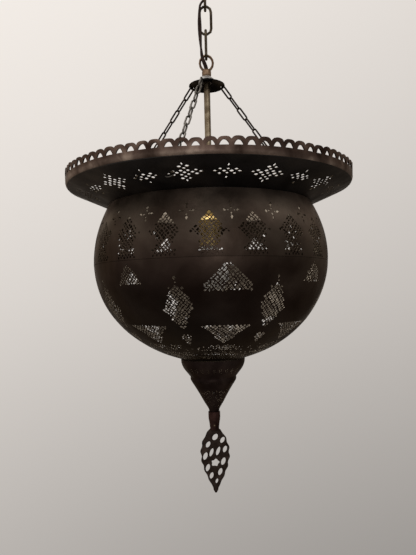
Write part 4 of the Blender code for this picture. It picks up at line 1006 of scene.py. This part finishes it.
CUP_PROFILE = ((36.6, -194.4), (37.4, -192.6), (37.6, -190.4), (37.2, -188.4), (38.6, -186.4), (42.2, -181.8),
               (45.9, -177.2), (48.8, -172.8), (50.9, -168), (51.9, -164.4), (52.3, -161), (52.2, -158.9))
CUP_COLUMNS = 120
CUP_ROWS = 26
CUP_SLOTS = (-178, -171)
CUP_SLOT = (0.36, 0.7, 0.66, 0, 0)
CONE_PROFILE = ((8.1, -245.7), (8.7, -242), (11.4, -237), (14.8, -231.6), (18.4, -225.2), (22.8, -217),
                (28.8, -207), (34.6, -197.8), (36.2, -195.4), (36.2, -195))
CONE_COLUMNS = 72
CONE_ROWS = 36
CONE_HOLES = (-240, -208)
CONE_HOLE = (0.5, 0.42, 0.66, 0, 0)
CONE_SHARE = 0.5


def turned_profile(profile):
    """The profile in metres, from the ceiling's zero."""
    return [(radius * MM, SEAM + height * MM) for radius, height in profile]


def add_finial():
    """The cup with a ring of small slots, and the cone with fine holes."""
    cup_rows = profile_rows(turned_profile(CUP_PROFILE), CUP_ROWS)
    cone_rows = profile_rows(turned_profile(CONE_PROFILE), CONE_ROWS)

    def slot_at(column, row):
        """A slot in every second cell of the rows that have them."""
        height = (cup_rows[row][1] - SEAM) / MM
        if CUP_SLOTS[0] < height < CUP_SLOTS[1] and column % 4 < 2:
            return uneven(CUP_SLOT)
        return None

    def hole_at(column, row):
        height = (cone_rows[row][1] - SEAM) / MM
        if CONE_HOLES[0] < height < CONE_HOLES[1] and rng.uniform() < CONE_SHARE:
            return uneven(CONE_HOLE)
        return None

    cup = Sheet()
    cup.add_strip(cup_rows, CUP_COLUMNS, slot_at, dents=0.5)
    cup.finish("cup_sheet", (finial_skin, upper_inside_painted_shade, cut_edge), "copper_brown", "finial_cup")
    cone = Sheet()
    cone.add_strip(cone_rows, CONE_COLUMNS, hole_at, dents=0.4)
    cone.finish("cone_sheet", (finial_skin, lower_inside_painted_light, cut_edge), "copper_brown", "finial_cone")


# Leaf, with heights over its pin

LEAF_PIN = -767.2 * MM
LEAF_THICKNESS = 2.6 * MM
LEAF_BEVEL = 0.4 * MM
LEAF_TOP = 9 * MM
LEAF_LENGTH = 103 * MM
LEAF_HALF_WIDTH = 23.4 * MM
LEAF_SHOULDER = 0.08
# Half-widths where the tip starts and at its end
LEAF_TIP = (4.1 * MM, 1.2 * MM)
LEAF_TIP_TAPER = 60 * MM
LEAF_FULLNESS = 0.8
LEAF_STEPS = 70
LEAF_LOBES = 6.5
LOBE_DEPTH = 0.045
LOBE_SHIFT = 0.2
TONGUE_RADIUS = 4.2 * MM
TONGUE_START = -50
TONGUE_SWEEP = 280
TONGUE_STEPS = 12
LEAF_CREASE_ANGLE = math.radians(50)
LEAF_HOLES = (
    (0.5, -21, 4.0, 6.0, 0.6), (12.4, -26, 3.2, 5.6, 0.5), (-11.3, -33, 3.2, 5.6, 0.5),
    (4.9, -44, 2.7, 7.6, 0.35), (-6, -46, 2.7, 7.2, 0.35), (16.2, -41, 3.1, 5.8, 0.35),
    (-16.2, -52, 3.4, 6.6, 0.35), (13.1, -61, 3.4, 6.6, 0.35), (-12.5, -71, 3.2, 6.4, 0.3),
    (7.7, -78, 3.2, 6.2, 0.35), (-6.6, -84, 3.0, 5.6, 0.3), (1.8, -93, 2.0, 4.1, 0.3),
)
LEAF_STAR = (0, -63, 6.0, 5.8)


def leaf_side(side):
    """One edge of the leaf from its shoulder to its tip, lobed beside the holes."""
    edge = []
    for i in range(LEAF_STEPS + 1):
        share = i / LEAF_STEPS
        place = LEAF_SHOULDER + (1 - LEAF_SHOULDER) * share
        width = LEAF_HALF_WIDTH * math.sin(math.pi * place ** LEAF_FULLNESS)
        width *= 1 + LOBE_DEPTH * math.cos(math.tau * (LEAF_LOBES * share + LOBE_SHIFT * side))
        tip = min(LEAF_TIP[0], LEAF_TIP[1] + (1 - share) * LEAF_TIP_TAPER)
        edge.append((side * max(width, tip), -LEAF_TOP - share * LEAF_LENGTH))
    return edge


def oval(x, z, half_width, half_height, lean, points=18):
    """A leaning oval with rather pointed ends, its sizes in millimetres."""
    rim = []
    for k in range(points):
        angle = math.tau * k / points
        across = half_width * math.cos(angle) * (1 - 0.15 * math.sin(angle) ** 2)
        along = half_height * math.sin(angle)
        rim.append(((x + across * math.cos(lean) + along * math.sin(lean)) * MM,
                    (z - across * math.sin(lean) + along * math.cos(lean)) * MM))
    return rim


def star(x, z, half_width, half_height, points=40):
    """A rounded opening with five lobes, its sizes in millimetres."""
    rim = []
    for k in range(points):
        angle = math.tau * k / points
        size = 1 + 0.13 * math.sin(5 * angle + 0.9) + 0.07 * math.sin(2 * angle)
        rim.append(((x + half_width * size * math.cos(angle)) * MM,
                    (z + half_height * size * math.sin(angle)) * MM))
    return rim


def add_leaf():
    """The pierced leaf with its softened rims, and the tongue that hangs it on its pin."""
    curve = bpy.data.curves.new("leaf_outline", "CURVE")
    curve.dimensions = "2D"
    curve.fill_mode = "BOTH"
    curve.extrude = LEAF_THICKNESS / 2 - LEAF_BEVEL
    curve.bevel_depth = LEAF_BEVEL
    curve.bevel_resolution = 1
    curve.offset = -LEAF_BEVEL
    tongue = []
    for k in range(TONGUE_STEPS + 1):
        angle = math.radians(TONGUE_START + TONGUE_SWEEP * k / TONGUE_STEPS)
        tongue.append((TONGUE_RADIUS * math.cos(angle), TONGUE_RADIUS * math.sin(angle)))
    outlines = [leaf_side(1) + leaf_side(-1)[::-1] + tongue[::-1], star(*LEAF_STAR)]
    outlines += [oval(*hole) for hole in LEAF_HOLES]
    for outline in outlines:
        spline = curve.splines.new("POLY")
        spline.points.add(len(outline) - 1)
        spline.points.foreach_set("co", [v for x, y in outline for v in (x, y, 0, 1)])
        spline.use_cyclic_u = True
    guide = link_object("leaf_guide", curve)
    graph = bpy.context.evaluated_depsgraph_get()
    mesh = bpy.data.meshes.new_from_object(guide.evaluated_get(graph))
    bpy.data.objects.remove(guide)
    mesh.transform(Matrix.Translation((0, 0, LEAF_PIN)) @ Matrix.Rotation(math.pi / 2, 4, "X"))
    mesh.materials.clear()
    mesh.materials.append(leaf_skin)
    mesh.shade_smooth()
    mesh.set_sharp_from_angle(angle=LEAF_CREASE_ANGLE)
    stand_in("leaf_casting", mesh, "leaf", "copper_brown", "leaf_pendant")


# Collar, a spun cone over the chain plate, with heights over the collar's foot

COLLAR_OUTLINE = ((6.2, 5.0), (7.6, 5.0), (8.2, 4.4), (9.4, 3.0), (11.6, 1.2), (14.6, -1.3), (14.9, -1.9),
                  (14.4, -1.9), (9.6, 0.1), (6.2, 0.1))
COLLAR_SIDES = 72


def add_collar():
    """The collar turned about the lamp's axis."""
    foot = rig.box("plate_collar")[0][2]
    vertices, faces = [], []
    count = len(COLLAR_OUTLINE)
    for i in range(COLLAR_SIDES):
        azimuth = math.tau * i / COLLAR_SIDES
        x, y = math.cos(azimuth), math.sin(azimuth)
        for radius, height in COLLAR_OUTLINE:
            vertices.append((radius * MM * x, radius * MM * y, foot + height * MM))
        for k in range(count):
            after = (k + 1) % count
            ahead = (i + 1) % COLLAR_SIDES * count
            faces.append((i * count + k, i * count + after, ahead + after, ahead + k))
    mesh = new_mesh("collar_cone", vertices, faces, [painted_reflection_grey])
    mesh.set_sharp_from_angle(angle=CREASE_ANGLE)
    stand_in("collar_cone", mesh, "lamp", "bright_brass", "plate_collar")


add_brim()
add_gallery()
add_upper_bowl()
add_lower_bowl()
add_finial()
add_leaf()
add_collar()


# Chains, whose links and rings take the places of the solids

LINK_WIRE = 1.45 * MM
RING_WIRE = 1.2 * MM
WIRE_SIDES = 10
RING_POINTS = 28
CHAIN_WIDTH = 9.6 * MM
PAIR_CUT = 4.5 * MM
PAIR_LAP = 1.1 * MM


def fitted_axes(points):
    """The middle, the axes and the spans of a cloud of points, the longest first."""
    middle = (points.max(axis=0) + points.min(axis=0)) / 2
    axes = np.linalg.svd(points - points.mean(axis=0), full_matrices=False)[2]
    spans = (points - middle) @ axes.T
    middle = middle + ((spans.max(axis=0) + spans.min(axis=0)) / 2) @ axes
    return middle, axes, spans.max(axis=0) - spans.min(axis=0)


def ring_path(middle, axes, radius):
    """The centreline of a ring."""
    return [Vector(middle + radius * (axes[0] * math.cos(angle) + axes[1] * math.sin(angle)))
            for angle in np.linspace(0, math.tau, RING_POINTS, endpoint=False)]


def link_path(middle, along, across, length, width, per_end=9):
    """The centreline of a link with round ends."""
    path = []
    bend = width / 2
    for end in (1, -1):
        for k in range(per_end):
            angle = math.pi * k / (per_end - 1)
            reach = end * (length / 2 - bend + bend * math.sin(angle))
            path.append(Vector(middle + along * reach + across * end * bend * math.cos(angle)))
    return path


def closed_wire(vertices, faces, path, normal, radius):
    """Adds a round wire along a closed flat path."""
    first = len(vertices)
    count = len(path)
    normal = Vector(normal)
    for i, point in enumerate(path):
        ahead = (path[(i + 1) % count] - path[i - 1]).normalized()
        out = ahead.cross(normal).normalized()
        for k in range(WIRE_SIDES):
            angle = math.tau * k / WIRE_SIDES
            vertices.append(point + (out * math.cos(angle) + normal * math.sin(angle)) * radius)
    for i in range(count):
        for k in range(WIRE_SIDES):
            a, b = first + i * WIRE_SIDES, first + (i + 1) % count * WIRE_SIDES
            after = (k + 1) % WIRE_SIDES
            faces.append((a + k, a + after, b + after, b + k))


def add_link(vertices, faces, middle, along, axes, length):
    """Adds a link of a full length, flat in the plane of the longest axis that crosses it."""
    across = next(axis for axis in axes if abs(axis @ along) < 0.5)
    across = across - across @ along * along
    across = across / np.linalg.norm(across)
    path = link_path(middle, along, across, length - 2 * LINK_WIRE, CHAIN_WIDTH - 2 * LINK_WIRE)
    closed_wire(vertices, faces, path, np.cross(along, across), LINK_WIRE)


def add_chain_piece(name, node):
    """A link, a pair of joined links or a ring, in the place of its solid."""
    matrix = node.matrix_world
    points = np.array([matrix @ vertex.co for vertex in node.data.vertices])
    middle, axes, spans = fitted_axes(points)
    vertices, faces = [], []
    if name.endswith("ring"):
        path = ring_path(middle, axes, spans[0] / 2 - RING_WIRE)
        closed_wire(vertices, faces, path, axes[2], RING_WIRE)
    elif "links" in name:
        length = spans[0] / 2 + PAIR_LAP
        places = (points - middle) @ axes[0]
        for side, half in ((1, points[places > PAIR_CUT]), (-1, points[places < -PAIR_CUT])):
            centre = middle + axes[0] * side * (spans[0] - length) / 2
            add_link(vertices, faces, centre, axes[0], fitted_axes(half)[1], length)
    else:
        add_link(vertices, faces, middle, axes[0], axes, spans[0])
    skin = grey_wire if name.startswith("chain_1") else dark_wire
    mesh = new_mesh(name + "_wire", vertices, faces, [skin])
    stand_in(name + "_wire", mesh, "shade", "dark_steel", name)


for name, node in frame["nodes"].items():
    if name.startswith("chain_") and name != "chain_plate":
        add_chain_piece(name, node)


# Finishes of the solids that stay

FINISHES = {
    "ceiling_plate": dark_wire,
    "ceiling_hook": dark_wire,
    "ceiling_rose": brass,
    "cord_bush": bush_black,
    "suspension_loop": bronze,
    "stem_tube": brass,
    "stem_nut": dark_wire,
    "lampholder_cap": gilt,
    "lampholder_shell": gilt,
    "lampholder_liner": glaze,
    "bulb_cap": bright_cap,
    "bulb_glass": glass,
    "chain_plate": black_plate,
    "leaf_socket": socket_skin,
    "leaf_pin": brass,
}
for name, node in frame["nodes"].items():
    finish = link_bronze if name.startswith("top_link") else FINISHES.get(name)
    if finish is not None:
        for slot in node.material_slots:
            slot.material = finish


# World, floor and lights

# Brightness as a level and its change with a direction's height and side
WALL_LEVEL = 0.63
WALL_RISE = 0.43
WALL_RISE_BELOW = 0.12
WALL_ASIDE = -0.2
WALL_LEAST = 0.32
ROOM_LEVEL = 0.42
ROOM_RISE = 0.6
ROOM_ASIDE = -0.05
ROOM_LEAST = 0.03
ROOM_TINT = (1.0, 0.94, 0.885)
FLOOR_RADIUS = 2.2
FLOOR_DROP = 1.6
FLOOR_SIDES = 96
LIGHTS = (
    ("ceiling_light", (-0.3, 0.1, 1.3), 1.4, 18),
    ("front_light", (0.2, -2.8, 0.05), 1.6, 22),
)


def weighted_sum(tree, base, pairs):
    """A base value plus shares of outputs."""
    total = base
    for share, output in pairs:
        total = calculate(tree, "MULTIPLY_ADD", output, share, total)
    return total


def add_world():
    """A pale wall behind, brighter above and to the left, and a room that is dim below."""
    world = bpy.data.worlds.new("pale_wall")
    bpy.context.scene.world = world
    world.use_nodes = True
    tree = world.node_tree
    place = add_node(tree, "ShaderNodeTexCoord")
    split = add_node(tree, "ShaderNodeSeparateXYZ")
    tree.links.new(place.outputs["Generated"], split.inputs["Vector"])
    aside, height = split.outputs["X"], split.outputs["Z"]
    below = calculate(tree, "MINIMUM", height, 0)
    shares = [(WALL_RISE, height), (WALL_RISE_BELOW, below), (WALL_ASIDE, aside)]
    wall = weighted_sum(tree, WALL_LEVEL, shares)
    backdrop = calculate(tree, "MAXIMUM", wall, WALL_LEAST)
    room = weighted_sum(tree, ROOM_LEVEL, [(ROOM_RISE, height), (ROOM_ASIDE, aside)])
    room = calculate(tree, "MAXIMUM", room, ROOM_LEAST)
    path = add_node(tree, "ShaderNodeLightPath")
    rays = [(1, path.outputs[kind]) for kind in ("Is Camera Ray", "Is Glossy Ray", "Is Transmission Ray")]
    seen = add_node(tree, "ShaderNodeMix")
    tree.links.new(weighted_sum(tree, 0, rays), seen.inputs["Factor"])
    tree.links.new(room, seen.inputs["A"])
    tree.links.new(backdrop, seen.inputs["B"])
    tint = add_node(tree, "ShaderNodeVectorMath", operation="SCALE")
    tint.inputs[0].default_value = ROOM_TINT
    tree.links.new(seen.outputs["Result"], tint.inputs["Scale"])
    tree.links.new(tint.outputs["Vector"], tree.nodes["Background"].inputs["Color"])


def add_floor():
    """A pale disc far below, which the bowl's underside reflects."""
    bpy.ops.mesh.primitive_circle_add(vertices=FLOOR_SIDES, radius=FLOOR_RADIUS, fill_type="NGON",
                                      location=(0, 0, SEAM - FLOOR_DROP))
    floor = bpy.context.object
    floor.name = "floor"
    floor.data.materials.append(pale_floor)
    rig.stage(floor)


def add_light(name, place, size, power):
    """A square lamp that points at the bowl and isn't seen itself."""
    data = bpy.data.lights.new(name, "AREA")
    data.size = size
    data.energy = power
    light = link_object(name, data)
    light.location = place
    light.rotation_euler = (Vector((0, 0, SEAM)) - Vector(place)).to_track_quat("-Z", "Y").to_euler()
    light.visible_camera = False


add_world()
add_floor()
for light in LIGHTS:
    add_light(*light)

bpy.context.scene.view_settings.view_transform = "Standard"
with open("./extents.json", "w") as file:
    json.dump([[list(corner) for corner in cad_box], [list(corner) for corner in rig.bounds()]], file)
